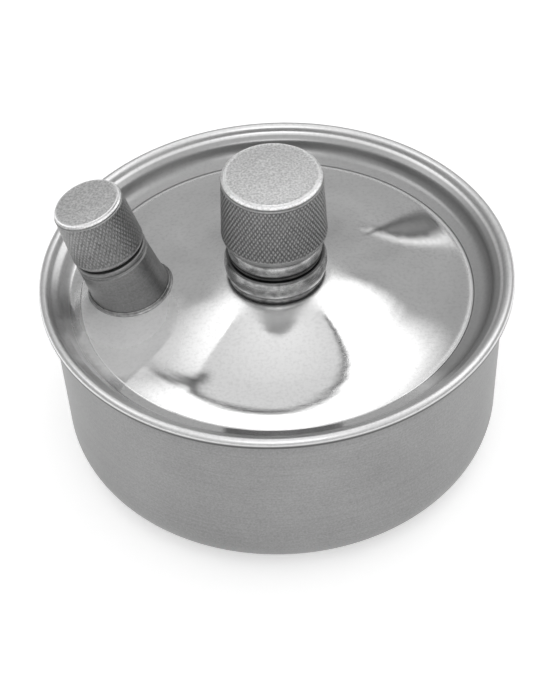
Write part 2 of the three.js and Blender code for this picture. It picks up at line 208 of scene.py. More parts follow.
class Sheet(Nodes):
    """The nodes of one material with a Principled surface."""

    def __init__(self, name: str) -> None:
        """Start the material.

        Args:
            name: name of the material.
        """
        self.material = bpy.data.materials.new(name)
        self.material.use_nodes = True
        super().__init__(self.material.node_tree)
        self.surface = self.put("BsdfPrincipled")
        self.put("OutputMaterial", {"Surface": self.surface.outputs["BSDF"]})

    def set(self, **inputs: object) -> None:
        """Fill inputs of the Principled surface, with underscores for spaces."""
        for key, value in inputs.items():
            self.feed(self.surface.inputs[key.replace("_", " ")], value)

    def place(self, scale: Sequence[float] = (1.0, 1.0, 1.0)) -> Socket:
        """Object coordinates stretched by a scale.

        Args:
            scale: stretch along X, Y and Z.

        Returns:
            The vector output.
        """
        at = self.put("TexCoord").outputs["Object"]
        return self.put("Mapping", {"Vector": at, "Scale": tuple(scale)}).outputs["Vector"]

    def carried(self) -> Socket:
        """The number that the piece carries for its finish, from its own "relief" attribute."""
        return self.put("Attribute", attribute_name="relief").outputs["Fac"]

    def turning(self, round_scale: float, along_scale: float) -> Socket:
        """Coordinates that run round and along a turned piece, from its own "turning" attribute.

        Args:
            round_scale: stretch of the two components that go round.
            along_scale: stretch of the component along the profile, per millimetre.

        Returns:
            The vector output.
        """
        at = self.put("Attribute", attribute_name="turning").outputs["Vector"]
        scale = (round_scale, round_scale, along_scale)
        return self.put("Mapping", {"Vector": at, "Scale": scale}).outputs["Vector"]

    def bump(self, height: Socket, depth: float, strength: float = 1.0,
             under: Socket | None = None) -> Socket:
        """A bump from a height.

        Args:
            height: height between 0 and 1.
            depth: metres between height 0 and 1.
            strength: strength of the bump.
            under: normal to build on.

        Returns:
            The normal output.
        """
        node = self.put("Bump", {"Height": height, "Distance": depth, "Strength": strength})
        if under is not None:
            self.feed(node.inputs["Normal"], under)
        return node.outputs["Normal"]


def grey(value: float, warm: float = 0.0) -> Colour:
    """A grey with a little warmth, as a colour with alpha."""
    return (value * (1 + warm), value, value * (1 - warm), 1.0)


@dataclass(frozen=True)
class SatinSpun:
    """Dull spun sheet metal with fine lathe lines round it and a speckled skin.

    The piece carries how unshaded it is: 1 on open sheet, 0 where shade is painted right under the rim.
    """

    name: str = "satin spun sheet"
    dark: float = 0.21
    light: float = 0.36
    roughness: tuple[float, float] = (0.36, 0.52)
    # painted shade: the dark grey painted on the bowl right under the rim
    painted_shade: float = 0.05

    def make(self) -> bpy.types.Material:
        """Build the material."""
        s = Sheet(self.name)
        unshaded = s.carried()
        lines = s.noise(s.turning(1.2, 9.0), 1.0, 4.0, 0.6)
        speckle = s.noise(s.place(), 2600.0, 2.0, 0.6)
        cloud = s.noise(s.place(), 55.0, 3.0)
        tone = s.sum(s.sum(lines, 0.35, "MULTIPLY"), s.sum(speckle, 0.4, "MULTIPLY"))
        tone = s.sum(tone, s.sum(cloud, 0.25, "MULTIPLY"))
        sheet = s.blend(s.span(tone, 0.35, 0.65, 0.0, 1.0), grey(self.dark), grey(self.light))
        # painted shade: the sheet darkens to the painted-shade grey where the carried number falls to 0
        s.set(Base_Color=s.blend(unshaded, grey(self.painted_shade), sheet),
              Metallic=1.0, Roughness=s.span(tone, 0.3, 0.7, *self.roughness))
        fine = s.bump(speckle, 0.00002, 0.6)
        s.set(Normal=s.bump(lines, 0.00003, 0.5, fine))
        return s.material


@dataclass(frozen=True)
class BrightPlate:
    """Polished plate with faint spinning rings, soft smears and hair scratches.

    The piece carries its wear and its painted shade: up to one half it raises the roughness, and from there to 1 it
    paints shade by darkening the plate. A pale matt bloom lies where the filler was soldered on, with its middle and
    its reach along X and Y in metres.
    """

    name: str = "bright plate"
    tone: float = 0.80
    roughness: tuple[float, float] = (0.02, 0.055)
    dulled: float = 0.30
    # painted shade: the dark grey painted under the roll of the rim and in the far groove
    corner_shade: float = 0.10
    ripple: float = 0.000004
    bloom_at: tuple[float, float] = (-0.0285, -0.0105)
    bloom_size: tuple[float, float] = (0.0105, 0.0125)
    bloom: float = 0.62

    def make(self) -> bpy.types.Material:
        """Build the material."""
        s = Sheet(self.name)
        smear = s.noise(s.place(), 70.0, 4.0, 0.6)
        hair = s.noise(s.turning(0.9, 26.0), 1.0, 3.0, 0.7)
        speck = s.noise(s.place(), 1500.0, 2.0)
        wear = s.sum(s.sum(smear, 0.6, "MULTIPLY"), s.sum(hair, 0.4, "MULTIPLY"))
        carried_shade = s.carried()
        plate = s.blend(s.span(speck, 0.45, 0.75, 0.0, 1.0), grey(self.tone), grey(self.tone * 0.9))
        rough = s.sum(s.span(wear, 0.35, 0.68, *self.roughness), s.span(carried_shade, 0.0, 0.5, 0.0, self.dulled))
        # painted shade: past one half the carried number darkens the plate toward the painted-shade grey
        s.set(Base_Color=s.blend(s.span(carried_shade, 0.5, 1.0, 0.0, 1.0), plate, grey(self.corner_shade)),
              Metallic=s.span(self.heated(s), 0.75, 1.2, 1.0 - self.bloom, 1.0), Roughness=rough)
        wave = s.noise(s.turning(1.5, 0.35), 1.0, 1.0)
        soft = s.bump(wave, self.ripple * 6, 0.6)
        s.set(Normal=s.bump(hair, self.ripple, 0.35, soft))
        return s.material

    def heated(self, s: Sheet) -> Socket:
        """How far a place is from the middle of the pale bloom that soldering heat left, 1 at its edge.

        Args:
            s: the sheet being written.

        Returns:
            The distance, uneven by a tenth.
        """
        place = s.put("SeparateXYZ", {"Vector": s.place()}).outputs
        dx = s.scaled(place[0], 1 / self.bloom_size[0], -self.bloom_at[0] / self.bloom_size[0])
        dy = s.scaled(place[1], 1 / self.bloom_size[1], -self.bloom_at[1] / self.bloom_size[1])
        return s.sum(s.length(dx, dy), s.span(s.noise(s.place(), 220.0, 3.0), 0.3, 0.7, -0.1, 0.1))


@dataclass(frozen=True)
class TurnedPlate:
    """Duller plate over turned rings with lathe lines. The piece carries a painted shade, 1 in the corners where the
    rings meet other parts.
    """

    name: str = "turned plate"
    light: float = 0.62
    dark: float = 0.30
    # painted shade: the dark grey painted in the corners
    corner_shade: float = 0.10
    roughness: tuple[float, float] = (0.20, 0.36)

    def make(self) -> bpy.types.Material:
        """Build the material."""
        s = Sheet(self.name)
        carried_shade = s.carried()
        lines = s.noise(s.turning(1.0, 10.0), 1.0, 4.0, 0.65)
        stains = s.noise(s.place(), 420.0, 4.0, 0.6)
        plate = s.blend(s.span(stains, 0.40, 0.62, 0.0, 1.0), grey(self.light), grey(self.dark))
        # painted shade: the carried number darkens the plate toward the painted-shade grey
        s.set(Base_Color=s.blend(s.span(carried_shade, 0.0, 1.0, 0.0, 1.0), plate, grey(self.corner_shade)),
              Metallic=1.0, Roughness=s.span(lines, 0.3, 0.7, *self.roughness))
        s.set(Normal=s.bump(lines, 0.00002, 0.5))
        return s.material


@dataclass(frozen=True)
class KnurledMetal:
    """Dull plate over a cut knurl: dirt in the grooves, crests rubbed to the metal, and past 1 a lighter lathe-turned
    top with a painted highlight on its rolled edge.
    """

    name: str = "knurled metal"
    groove: float = 0.13
    crest: float = 0.42
    # tones of the top: lighter turned metal, and near white as a painted highlight on the rolled edge
    top_and_highlight_tones: tuple[float, float] = (0.50, 0.95)
    roughness: tuple[float, float] = (0.34, 0.5)

    def make(self) -> bpy.types.Material:
        """Build the material."""
        s = Sheet(self.name)
        height = s.carried()
        rub = s.noise(s.place(), 2300.0, 2.0)
        facing = s.noise(s.place(), 3400.0, 3.0, 0.65)
        tone = s.sum(height, s.span(rub, 0.3, 0.7, -0.2, 0.2))
        colour = s.blend(s.span(tone, 0.05, 0.85, 0.0, 1.0), grey(self.groove), grey(self.crest))
        # painted highlight: past 1 the near-white end of these tones lights the rolled edge of the top
        turned_top_and_highlight = s.blend(s.span(s.sum(height, s.span(rub, 0.35, 0.65, -0.25, 0.25)), 1.25, 2.0, 0.0, 1.0),
                        grey(self.top_and_highlight_tones[0]), grey(self.top_and_highlight_tones[1]))
        colour = s.blend(s.span(height, 1.0, 1.3, 0.0, 1.0), colour, turned_top_and_highlight)
        s.set(Base_Color=colour, Metallic=1.0, Roughness=s.span(facing, 0.3, 0.7, *self.roughness))
        s.set(Normal=s.bump(facing, 0.00002, 0.5))
        return s.material


@dataclass(frozen=True)
class TurnedBrass:
    """Brass from the lathe, a little tarnished."""

    name: str = "turned brass"
    metal: Colour = (0.56, 0.40, 0.17, 1)
    tarnish: Colour = (0.30, 0.20, 0.09, 1)
    roughness: tuple[float, float] = (0.22, 0.42)

    def make(self) -> bpy.types.Material:
        """Build the material."""
        s = Sheet(self.name)
        lines = s.noise(s.turning(1.0, 14.0), 1.0, 4.0, 0.65)
        spots = s.noise(s.place(), 160.0, 4.0)
        colour = s.blend(s.span(spots, 0.42, 0.66, 0.0, 1.0), self.metal, self.tarnish)
        s.set(Base_Color=colour, Metallic=1.0, Roughness=s.span(lines, 0.3, 0.7, *self.roughness))
        s.set(Normal=s.bump(lines, 0.00002, 0.5))
        return s.material


@dataclass(frozen=True)
class SoftSolder:
    """Dull grey solder, wiped and a little pitted."""

    name: str = "soft solder"
    light: float = 0.36
    dark: float = 0.20
    roughness: tuple[float, float] = (0.28, 0.50)

    def make(self) -> bpy.types.Material:
        """Build the material."""
        s = Sheet(self.name)
        pits = s.noise(s.place(), 900.0, 4.0, 0.65)
        s.set(Base_Color=s.blend(s.span(pits, 0.4, 0.65, 0.0, 1.0), grey(self.light), grey(self.dark)),
              Metallic=1.0, Roughness=s.span(pits, 0.35, 0.7, *self.roughness))
        s.set(Normal=s.bump(pits, 0.00008, 0.6))
        return s.material


@dataclass(frozen=True)
class SoftRubber:
    """Black packing rubber, greyed where it is pressed."""

    name: str = "packing rubber"
    dark: float = 0.03
    pale: float = 0.08
    roughness: tuple[float, float] = (0.60, 0.85)

    def make(self) -> bpy.types.Material:
        """Build the material."""
        s = Sheet(self.name)
        bloom = s.noise(s.place(), 420.0, 4.0)
        s.set(Base_Color=s.blend(s.span(bloom, 0.4, 0.7, 0.0, 1.0), grey(self.dark), grey(self.pale)),
              Roughness=s.span(bloom, 0.3, 0.7, *self.roughness))
        s.set(Normal=s.bump(s.noise(s.place(), 2200.0, 3.0), 0.00004, 0.5))
        return s.material


@dataclass(frozen=True)
class PressedCork:
    """Cork board: pale grains with dark seams."""

    name: str = "pressed cork"
    grain: Colour = (0.46, 0.27, 0.12, 1)
    bark: Colour = (0.30, 0.16, 0.07, 1)
    seam: Colour = (0.10, 0.05, 0.025, 1)

    def make(self) -> bpy.types.Material:
        """Build the material."""
        s = Sheet(self.name)
        cells = s.put("TexVoronoi", {"Vector": s.place(), "Scale": 900.0}).outputs["Distance"]
        shade = s.noise(s.place(), 600.0, 3.0)
        base = s.blend(s.span(shade, 0.35, 0.7, 0.0, 1.0), self.grain, self.bark)
        s.set(Base_Color=s.blend(s.span(cells, 0.45, 0.75, 0.0, 1.0), base, self.seam), Roughness=0.92)
        s.set(Normal=s.bump(cells, 0.0001, 0.6))
        return s.material


@dataclass(frozen=True)
class BraidedCotton:
    """Undyed cotton yarn, scorched at the trimmed end. The piece carries the height of its yarns; the valleys between
    them are painted darker as shade.
    """

    name: str = "braided cotton"
    # painted shade: the darker cotton colour painted in the valleys between the yarns
    valley_shade: Colour = (0.42, 0.36, 0.26, 1)
    pale: Colour = (0.80, 0.75, 0.62, 1)
    burnt: Colour = (0.03, 0.022, 0.016, 1)
    scorch_from: float = 0.0585
    scorch_to: float = 0.0608

    def make(self) -> bpy.types.Material:
        """Build the material."""
        s = Sheet(self.name)
        fluff = s.noise(s.place((1, 1, 0.3)), 2600.0, 4.0, 0.7)
        # painted shade: low in the braid the yarn darkens toward the valley colour
        yarn = s.blend(s.span(s.carried(), 0.0, 0.9, 0.0, 1.0), self.valley_shade, self.pale)
        height = s.put("SeparateXYZ", {"Vector": s.place()}).outputs["Z"]
        uneven = s.sum(height, s.span(fluff, 0.3, 0.7, -0.0006, 0.0006))
        scorch = s.span(uneven, self.scorch_from, self.scorch_to, 0.0, 0.92)
        s.set(Base_Color=s.blend(scorch, yarn, self.burnt), Roughness=0.95, Sheen_Weight=0.3)
        s.set(Normal=s.bump(fluff, 0.00012, 0.8))
        return s.material


@dataclass(frozen=True)
class PaleFloor:
    """The pale table under the lamp, faintly lit from below like a light table."""

    name: str = "pale floor"
    tone: float = 0.86
    glow: float = 0.55

    def make(self) -> bpy.types.Material:
        """Build the material."""
        s = Sheet(self.name)
        haze = s.noise(s.place(), 6.0, 2.0)
        pale = s.blend(haze, grey(self.tone), grey(self.tone * 0.985))
        s.set(Base_Color=pale, Roughness=0.7, Emission_Color=pale, Emission_Strength=self.glow)
        return s.material


# ---------------------------------------------------------------- surfaces


@dataclass
class Placing:
    """Where a turned piece's own axis lies: a foot point, a bearing round Z and a lean away from it."""

    foot: tuple[float, float, float] = (0.0, 0.0, 0.0)
    bearing: float = 0.0
    lean: float = 0.0

    def turn(self) -> np.ndarray:
        """The 3 by 3 matrix that leans +Z and swings it to the bearing."""
        a, b = math.radians(self.lean), math.radians(self.bearing)
        lean = np.array([[math.cos(a), 0, math.sin(a)], [0, 1, 0], [-math.sin(a), 0, math.cos(a)]])
        swing = np.array([[math.cos(b), -math.sin(b), 0], [math.sin(b), math.cos(b), 0], [0, 0, 1]])
        return swing @ lean

    def move(self, points: np.ndarray) -> np.ndarray:
        """Carry points from the piece's own frame to the lamp's.

        Args:
            points: array whose last axis is X, Y, Z in millimetres.

        Returns:
            Points in the lamp's frame, in millimetres.
        """
        return points @ self.turn().T + np.array(self.foot)


UPRIGHT = Placing()


def filleted(corners: Sequence[tuple[float, ...]], closed: bool = False, spacing: float = 0.0) -> np.ndarray:
    """A profile with its corners rounded.

    Each corner is (radius, height) or (radius, height, fillet). A fillet is a circular arc that touches both
    straight sides: its ends lie fillet * tan(turn / 2) back from the corner along each side.

    Args:
        corners: the corners in order, outer side going up.
        closed: whether the last corner joins the first.
        spacing: longest straight step left undivided, 0 for no division.

    Returns:
        Array of (radius, height) rows.
    """
    plain = np.array([c[:2] for c in corners], float)
    count = len(corners)
    rows: list[np.ndarray] = []
    for i, corner in enumerate(corners):
        size = corner[2] if len(corner) > 2 else 0.0
        if size <= 0 or (not closed and i in (0, count - 1)):
            rows.append(plain[i][None])
            continue
        back, fore = plain[i - 1] - plain[i], plain[(i + 1) % count] - plain[i]
        room = min(np.linalg.norm(back), np.linalg.norm(fore)) * 0.49
        back, fore = back / np.linalg.norm(back), fore / np.linalg.norm(fore)
        open_angle = math.acos(float(np.clip(back @ fore, -1, 1)))
        reach = min(size / math.tan(open_angle / 2), room)
        size = reach * math.tan(open_angle / 2)
        middle = plain[i] + (back + fore) / np.linalg.norm(back + fore) * size / math.sin(open_angle / 2)
        first, last = plain[i] + back * reach - middle, plain[i] + fore * reach - middle
        sweep = math.pi - open_angle
        side = np.sign(first[0] * last[1] - first[1] * last[0])
        turn = np.linspace(0, 1, max(3, int(sweep / math.radians(12)) + 2)) * sweep * side
        rows.append(middle + np.stack([first[0] * np.cos(turn) - first[1] * np.sin(turn),
                                       first[0] * np.sin(turn) + first[1] * np.cos(turn)], 1))
    line = np.concatenate(rows)
    return divided(line, spacing, closed) if spacing > 0 else line


def divided(line: np.ndarray, spacing: float, closed: bool = False) -> np.ndarray:
    """Split the long steps of a profile evenly.

    Args:
        line: (radius, height) rows.
        spacing: longest step to leave.
        closed: whether the last row joins the first.

    Returns:
        The profile with rows added.
    """
    ends = np.concatenate([line, line[:1]]) if closed else line
    parts = [np.linspace(a, b, max(1, math.ceil(np.linalg.norm(b - a) / spacing)) + 1)[:-1]
             for a, b in zip(ends[:-1], ends[1:])]
    return np.concatenate(parts + ([] if closed else [ends[-1:]]))


@dataclass
class Turning:
    """A surface turned round an axis, on a grid of profile rows by steps round.

    A row's points are (r cos t, r sin t, z), where r is the row's radius plus the relief at that row and angle. The
    tint is the number that the finish reads, 1 everywhere unless it is given.
    """

    name: str
    profile: np.ndarray
    steps: int = 192
    closed: bool = False
    placing: Placing = field(default_factory=Placing)
    relief: Field | None = None
    warp: Callable[[np.ndarray], np.ndarray] | None = None
    tint: Field | None = None

    def build(self) -> bpy.types.Object:
        """Make the mesh object.

        Returns:
            The object, at the origin, in metres.
        """
        radius, height = self.profile[:, 0], self.profile[:, 1]
        angle = np.arange(self.steps) * (2 * math.pi / self.steps)
        r, t = np.broadcast_arrays(radius[:, None], angle[None, :])
        z = np.broadcast_to(height[:, None], r.shape)
        rr = r + (self.relief(r, t, z) if self.relief else 0.0)
        points = np.stack([rr * np.cos(t), rr * np.sin(t), z], -1)
        points = self.placing.move(self.warp(points) if self.warp else points)
        along = np.concatenate([[0], np.cumsum(np.hypot(np.diff(radius), np.diff(height)))])
        turning = np.stack([np.cos(t), np.sin(t), np.broadcast_to(along[:, None], r.shape)], -1)
        tint = self.tint(r, t, z) if self.tint else np.ones(r.shape)
        return grid_object(self.name, points, turning, tint, self.closed,
                           (radius[0] < TINY, radius[-1] < TINY))


def grid_object(name: str, points: np.ndarray, turning: np.ndarray, tint: np.ndarray, closed: bool,
                poles: tuple[bool, bool]) -> bpy.types.Object:
    """Make a mesh from a grid that closes round its second axis.

    A pole row collapses to one vertex with a fan of triangles, and a closed profile joins its last row to its first.

    Args:
        name: object name.
        points: rows by steps by 3, in millimetres.
        turning: rows by steps by 3 texture coordinates.
        tint: rows by steps number for the finish, stored as "relief".
        closed: whether the last row joins the first.
        poles: whether the first and the last row are poles.

    Returns:
        The mesh object with outward faces and smooth shading.
    """
    rows, steps = points.shape[:2]
    number = np.arange(rows * steps).reshape(rows, steps)
    lead, tail = (0 if poles[0] else None), (rows - 1 if poles[1] else None)
    first, last = (1 if poles[0] else 0), (rows - 1 if poles[1] else rows)
    ring = np.arange(first, last)
    low, high = (ring, np.roll(ring, -1)) if closed else (ring[:-1], ring[1:])
    a, b = number[low], number[high]
    quads = np.stack([a, np.roll(a, -1, 1), np.roll(b, -1, 1), b], -1).reshape(-1, 4)
    fans = []
    if lead is not None:
        edge = number[1]
        fans.append(np.stack([np.full(steps, number[0, 0]), np.roll(edge, -1), edge], -1))
    if tail is not None:
        edge = number[rows - 2]
        fans.append(np.stack([edge, np.roll(edge, -1), np.full(steps, number[rows - 1, 0])], -1))
    tris = np.concatenate(fans) if fans else np.zeros((0, 3), int)
    used, renumber = np.unique(np.concatenate([quads.ravel(), tris.ravel()]), return_inverse=True)
    quads, tris = renumber[:quads.size].reshape(-1, 4), renumber[quads.size:].reshape(-1, 3)
    spots = points.reshape(-1, 3)[used]
    split = np.concatenate([quads[:, [0, 1, 2]], quads[:, [0, 2, 3]], tris])
    p = spots[split]
    if np.einsum("ij,ij->", p[:, 0], np.cross(p[:, 1], p[:, 2])) < 0:
        quads, tris = quads[:, ::-1], tris[:, ::-1]
    mesh = bpy.data.meshes.new(name)
    corners = np.concatenate([quads.ravel(), tris.ravel()]).astype(np.int32)
    sizes = np.concatenate([np.full(len(quads), 4), np.full(len(tris), 3)])
    mesh.vertices.add(len(spots))
    mesh.vertices.foreach_set("co", (spots * MM).astype(np.float32).ravel())
    mesh.loops.add(len(corners))
    mesh.loops.foreach_set("vertex_index", corners)
    mesh.polygons.add(len(sizes))
    mesh.polygons.foreach_set("loop_start", np.concatenate([[0], np.cumsum(sizes)[:-1]]).astype(np.int32))
    mesh.polygons.foreach_set("use_smooth", np.ones(len(sizes), bool))
    mesh.update(calc_edges=True)
    mesh.validate()
    mesh.attributes.new("turning", "FLOAT_VECTOR", "POINT").data.foreach_set(
        "vector", turning.reshape(-1, 3)[used].astype(np.float32).ravel())
    mesh.attributes.new("relief", "FLOAT", "POINT").data.foreach_set(
        "value", tint.ravel()[used].astype(np.float32))
    piece = bpy.data.objects.new(name, mesh)
    bpy.context.scene.collection.objects.link(piece)
    return piece


def hoop(name: str, inner: float, out: float, low: float, high: float,
         fillets: tuple[float, float, float, float], spacing: float = 0.0,
         placing: Placing = UPRIGHT) -> bpy.types.Object:
    """Turn a plain ring with a four-sided section.

    Args:
        name: object name.
        inner: radius of the hole.
        out: outer radius.
        low: lower height.
        high: upper height.
        fillets: fillets at inner low, outer low, outer high and inner high.
        spacing: longest straight step left undivided, 0 for no division.
        placing: where its axis lies.

    Returns:
        The object.
    """
    corners = zip((inner, out, out, inner), (low, low, high, high), fillets)
    section = filleted(list(corners), closed=True, spacing=spacing)
    return Turning(name, section, PLAIN_STEPS, closed=True, placing=placing).build()


def dress(piece: bpy.types.Object, finish: bpy.types.Material, slot: Slot, body: Body,
          *nodes: str) -> bpy.types.Object:
    """Give a piece its finish, hide the solids it stands for and attach it to the body it rides on.

    Args:
        piece: the object.
        finish: its material.
        slot: the record's material slot; not used.
        body: the moving group.
        nodes: names of the solids that it stands for.

    Returns:
        The same object.
    """
    piece.data.materials.clear()
    piece.data.materials.append(finish)
    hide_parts(*nodes)
    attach(piece, body.value)
    LOG.info("%s: %d faces, rides on %s", piece.name, len(piece.data.polygons), body.value)
    return piece


# ---------------------------------------------------------------- the lamp's parts


@dataclass
class LidSurface:
    """The upper face of the lid: a flat land round the neck, a sweep down and out, and a dip inside the rim."""

    rim_height: float = 38.0
    crown: float = 2.0
    dip: float = 3.45
    land_radius: float = 10.0
    dip_radius: float = 38.4
    power: float = 1.8

    def height(self, radius: np.ndarray) -> np.ndarray:
        """Height of the face at a radius.

        Between land and dip it is low + drop * share ** power, where share falls from 1 at the land to 0 at the dip.

        Args:
            radius: distances from the axis.

        Returns:
            Heights above the table.
        """
        share = np.clip((self.dip_radius - radius) / (self.dip_radius - self.land_radius), 0, 1)
        return self.rim_height - self.dip + (self.crown + self.dip) * share ** self.power


@dataclass
class Reservoir:
    """The spun bowl and its lid with the rolled rim."""

    lid: LidSurface
    rim_radius: float = 45.0
    bead: float = 1.05
    sheet: float = 0.8
    wall_top: float = 42.9
    wall_low: float = 41.3
    corner: float = 9.5
    flare_out: float = 0.6
    flare: float = 1.5
    gap: float = 0.3
    groove_early: float = 1.0
    clean_edge: float = 0.08
    heat_at: tuple[float, float] = (-29.0, -4.0)
    heat_size: tuple[float, float] = (9.5, 11.0)
    handled: float = 15.5
    # painted shade: how dark the groove inside the rim is painted on its far side, centred on the bearing below
    painted_shade: float = 0.80
    painted_shade_from: float = 36.0
    painted_shade_to: float = 42.7
    painted_shade_bearing: float = 55.0

    def bowl(self) -> bpy.types.Object:
        """Spin the bowl: flat floor, round corner, leaning wall and a small flare under the rim."""
        top = self.lid.rim_height - self.bead - self.gap
        turn = np.radians(np.linspace(-90, 0, 26))
        edge = self.wall_low - self.corner
        arc = lambda size: np.stack([edge + size * np.cos(turn), self.corner + size * np.sin(turn)], 1)
        rise = np.linspace(0, 1, 10)[1:]
        flare = np.stack([self.wall_top + self.flare_out * rise ** 2, top - self.flare * (1 - rise)], 1)
        wall = np.array([[self.wall_top, top - self.flare]])
        inner_flare, trim = flare[::-1] - [self.sheet, 0], [0, self.clean_edge]
        lip = np.stack([flare[-1, 0] - self.sheet * np.array([0.15, 0.85]), np.full(2, top + self.clean_edge)], 1)
        profile = np.concatenate([
            [[0, 0]], divided(np.concatenate([arc(self.corner), wall]), 1.5), flare[:-1],
            flare[-1:] - trim, lip, inner_flare[:1] - trim, inner_flare[1:],
            divided(np.concatenate([wall - [self.sheet, 0], arc(self.corner - self.sheet)[::-1]]), 2.0),
            [[0, self.sheet]]])

        def unshaded(r: np.ndarray, t: np.ndarray, z: np.ndarray) -> np.ndarray:
            """Unshaded share: 0 in the painted shade right under the rim, and a little less than 1 along a faint
            painted shadow line where the flare begins.
            """
            # painted shadow: a faint darker line where the flare begins
            line = 0.35 * np.clip(1 - np.abs(z - (top - self.flare - 0.3)) / 0.4, 0, 1)
            # painted shade: 0 up to 0.3 mm below the bowl's top edge, easing to 1 by 0.9 mm below it
            return 1 - np.maximum(np.clip((z - top + 0.9) / 0.6, 0, 1), line)

        return Turning("shown_reservoir_bowl", divided(profile, 4.0), 320, tint=unshaded).build()

    def cover(self) -> bpy.types.Object:
        """Spin the lid: land, sweep, dip, a wall up inside the bowl and the roll of the rim."""
        low = self.lid.rim_height - self.lid.dip
        wall = self.wall_top - self.sheet - self.gap
        bead = self.rim_radius - self.bead
        tail = self.lid.dip_radius - self.groove_early
        radius = np.concatenate([[6.3, 8.5], np.linspace(self.lid.land_radius - 0.6, tail, 70)])
        upper = np.stack([radius, softened(self.lid, radius)], 1)
        groove = filleted([(tail - 0.3, upper[-1, 1]), (tail, upper[-1, 1], 3),
                           (wall - 2.6 * self.sheet, low + 0.3, 4), (wall - 1.3 * self.sheet, low + 1.5, 3),
                           (wall - self.sheet, low + 2.6, 2), (bead - self.bead, self.lid.rim_height)],
                          spacing=0.35)[1:-1]
        turn = np.radians(np.linspace(175, -140, 40))
        roll = np.stack([bead + self.bead * np.cos(turn), self.lid.rim_height + self.bead * np.sin(turn)], 1)
        under = np.array([[wall, low + 2.0], [wall - 0.7 * self.sheet, low + 0.8],
                          [wall - 2.2 * self.sheet, low - 0.35]])
        lower = upper[::-6] - [0, self.sheet]
        profile = np.concatenate([upper, groove, roll, under, lower])[::-1]
        side = lambda r, z: np.degrees(np.arctan2(z - self.lid.rim_height, r - bead))

        def wear(r: np.ndarray, t: np.ndarray, z: np.ndarray) -> np.ndarray:
            """Dull in the groove, by the filler and round the neck; painted shade under the roll and in the far part
            of the groove.
            """
            dull = np.clip((r - self.lid.dip_radius - 0.6) / 0.6, 0, 1)
            heat = np.hypot((r * np.cos(t) - self.heat_at[0]) / self.heat_size[0],
                            (r * np.sin(t) - self.heat_at[1]) / self.heat_size[1])
            dull = np.maximum(dull, 0.9 * np.clip((1.25 - heat) / 0.4, 0, 1) * (r < self.lid.dip_radius))
            dull = np.maximum(dull, 0.7 * np.clip((self.handled - r) / 4.0, 0, 1))
            # painted shade: the outer side and underside of the roll darkened as the shadow where the roll meets the
            # bowl
            outer = np.clip((18 - side(r, z)) / 16, 0, 1) * (r > bead)
            # painted shade: the groove inside the rim darkened only on the far side, round the painted-shade bearing
            far = np.clip((np.cos(t - math.radians(self.painted_shade_bearing)) + 0.45) / 0.4, 0, 1)
            band = np.clip((r - self.painted_shade_from) / 1.2, 0, 1) * np.clip((self.painted_shade_to - r) / 0.5, 0, 1)
            # up to one half the number only dulls the plate; past one half it paints shade
            return np.maximum(0.5 * dull + 0.5 * outer, self.painted_shade * far * band)

        return Turning("shown_reservoir_lid", profile, 384, closed=True, tint=wear).build()

    def make(self, satin: bpy.types.Material, bright: bpy.types.Material) -> None:
        """Build and dress both pieces.

        Args:
            satin: finish of the bowl.
            bright: finish of the lid.
        """
        dress(self.bowl(), satin, Slot.SATIN, Body.LAMP, "reservoir_bowl")
        dress(self.cover(), bright, Slot.BRIGHT, Body.LAMP, "reservoir_lid")


def softened(lid: LidSurface, radius: np.ndarray, reach: float = 0.8) -> np.ndarray:
    """The lid's height with the edge of its land eased by averaging a little each way.

    Args:
        lid: the lid's face.
        radius: distances from the axis.
        reach: how far each way, in millimetres.

    Returns:
        Heights above the table.
    """
    shifts = np.linspace(-reach, reach, 9)
    return lid.height(radius[:, None] + shifts[None, :]).mean(1)


def right_hand_thread(low: float, length: float, pitch: float, root: float, depth: float) -> Field:
    """Relief of a right-hand thread between two heights on a root radius.

    The crest height is depth * (0.5 + 0.5 cos(2 pi (z / pitch - t / 2 pi))), sharpened a little, and it fades out
    over half a pitch at both ends.

    Args:
        low: lower end of the thread.
        length: height of the threaded zone.
        pitch: rise per turn.
        root: radius of the rows that carry the thread.
        depth: height of the crest above the root.

    Returns:
        A function of (radius, angle, height) arrays.
    """

    def relief(r: np.ndarray, t: np.ndarray, z: np.ndarray) -> np.ndarray:
        wave = 0.5 + 0.5 * np.cos(2 * math.pi * ((z - low) / pitch) - t)
        wave = np.clip(wave * 1.25 - 0.1, 0, 1)
        fade = np.clip(np.minimum(z - low, low + length - z) / (pitch / 2), 0, 1)
        return np.where(np.abs(r - root) < TINY, depth * wave * fade, 0.0)

    return relief


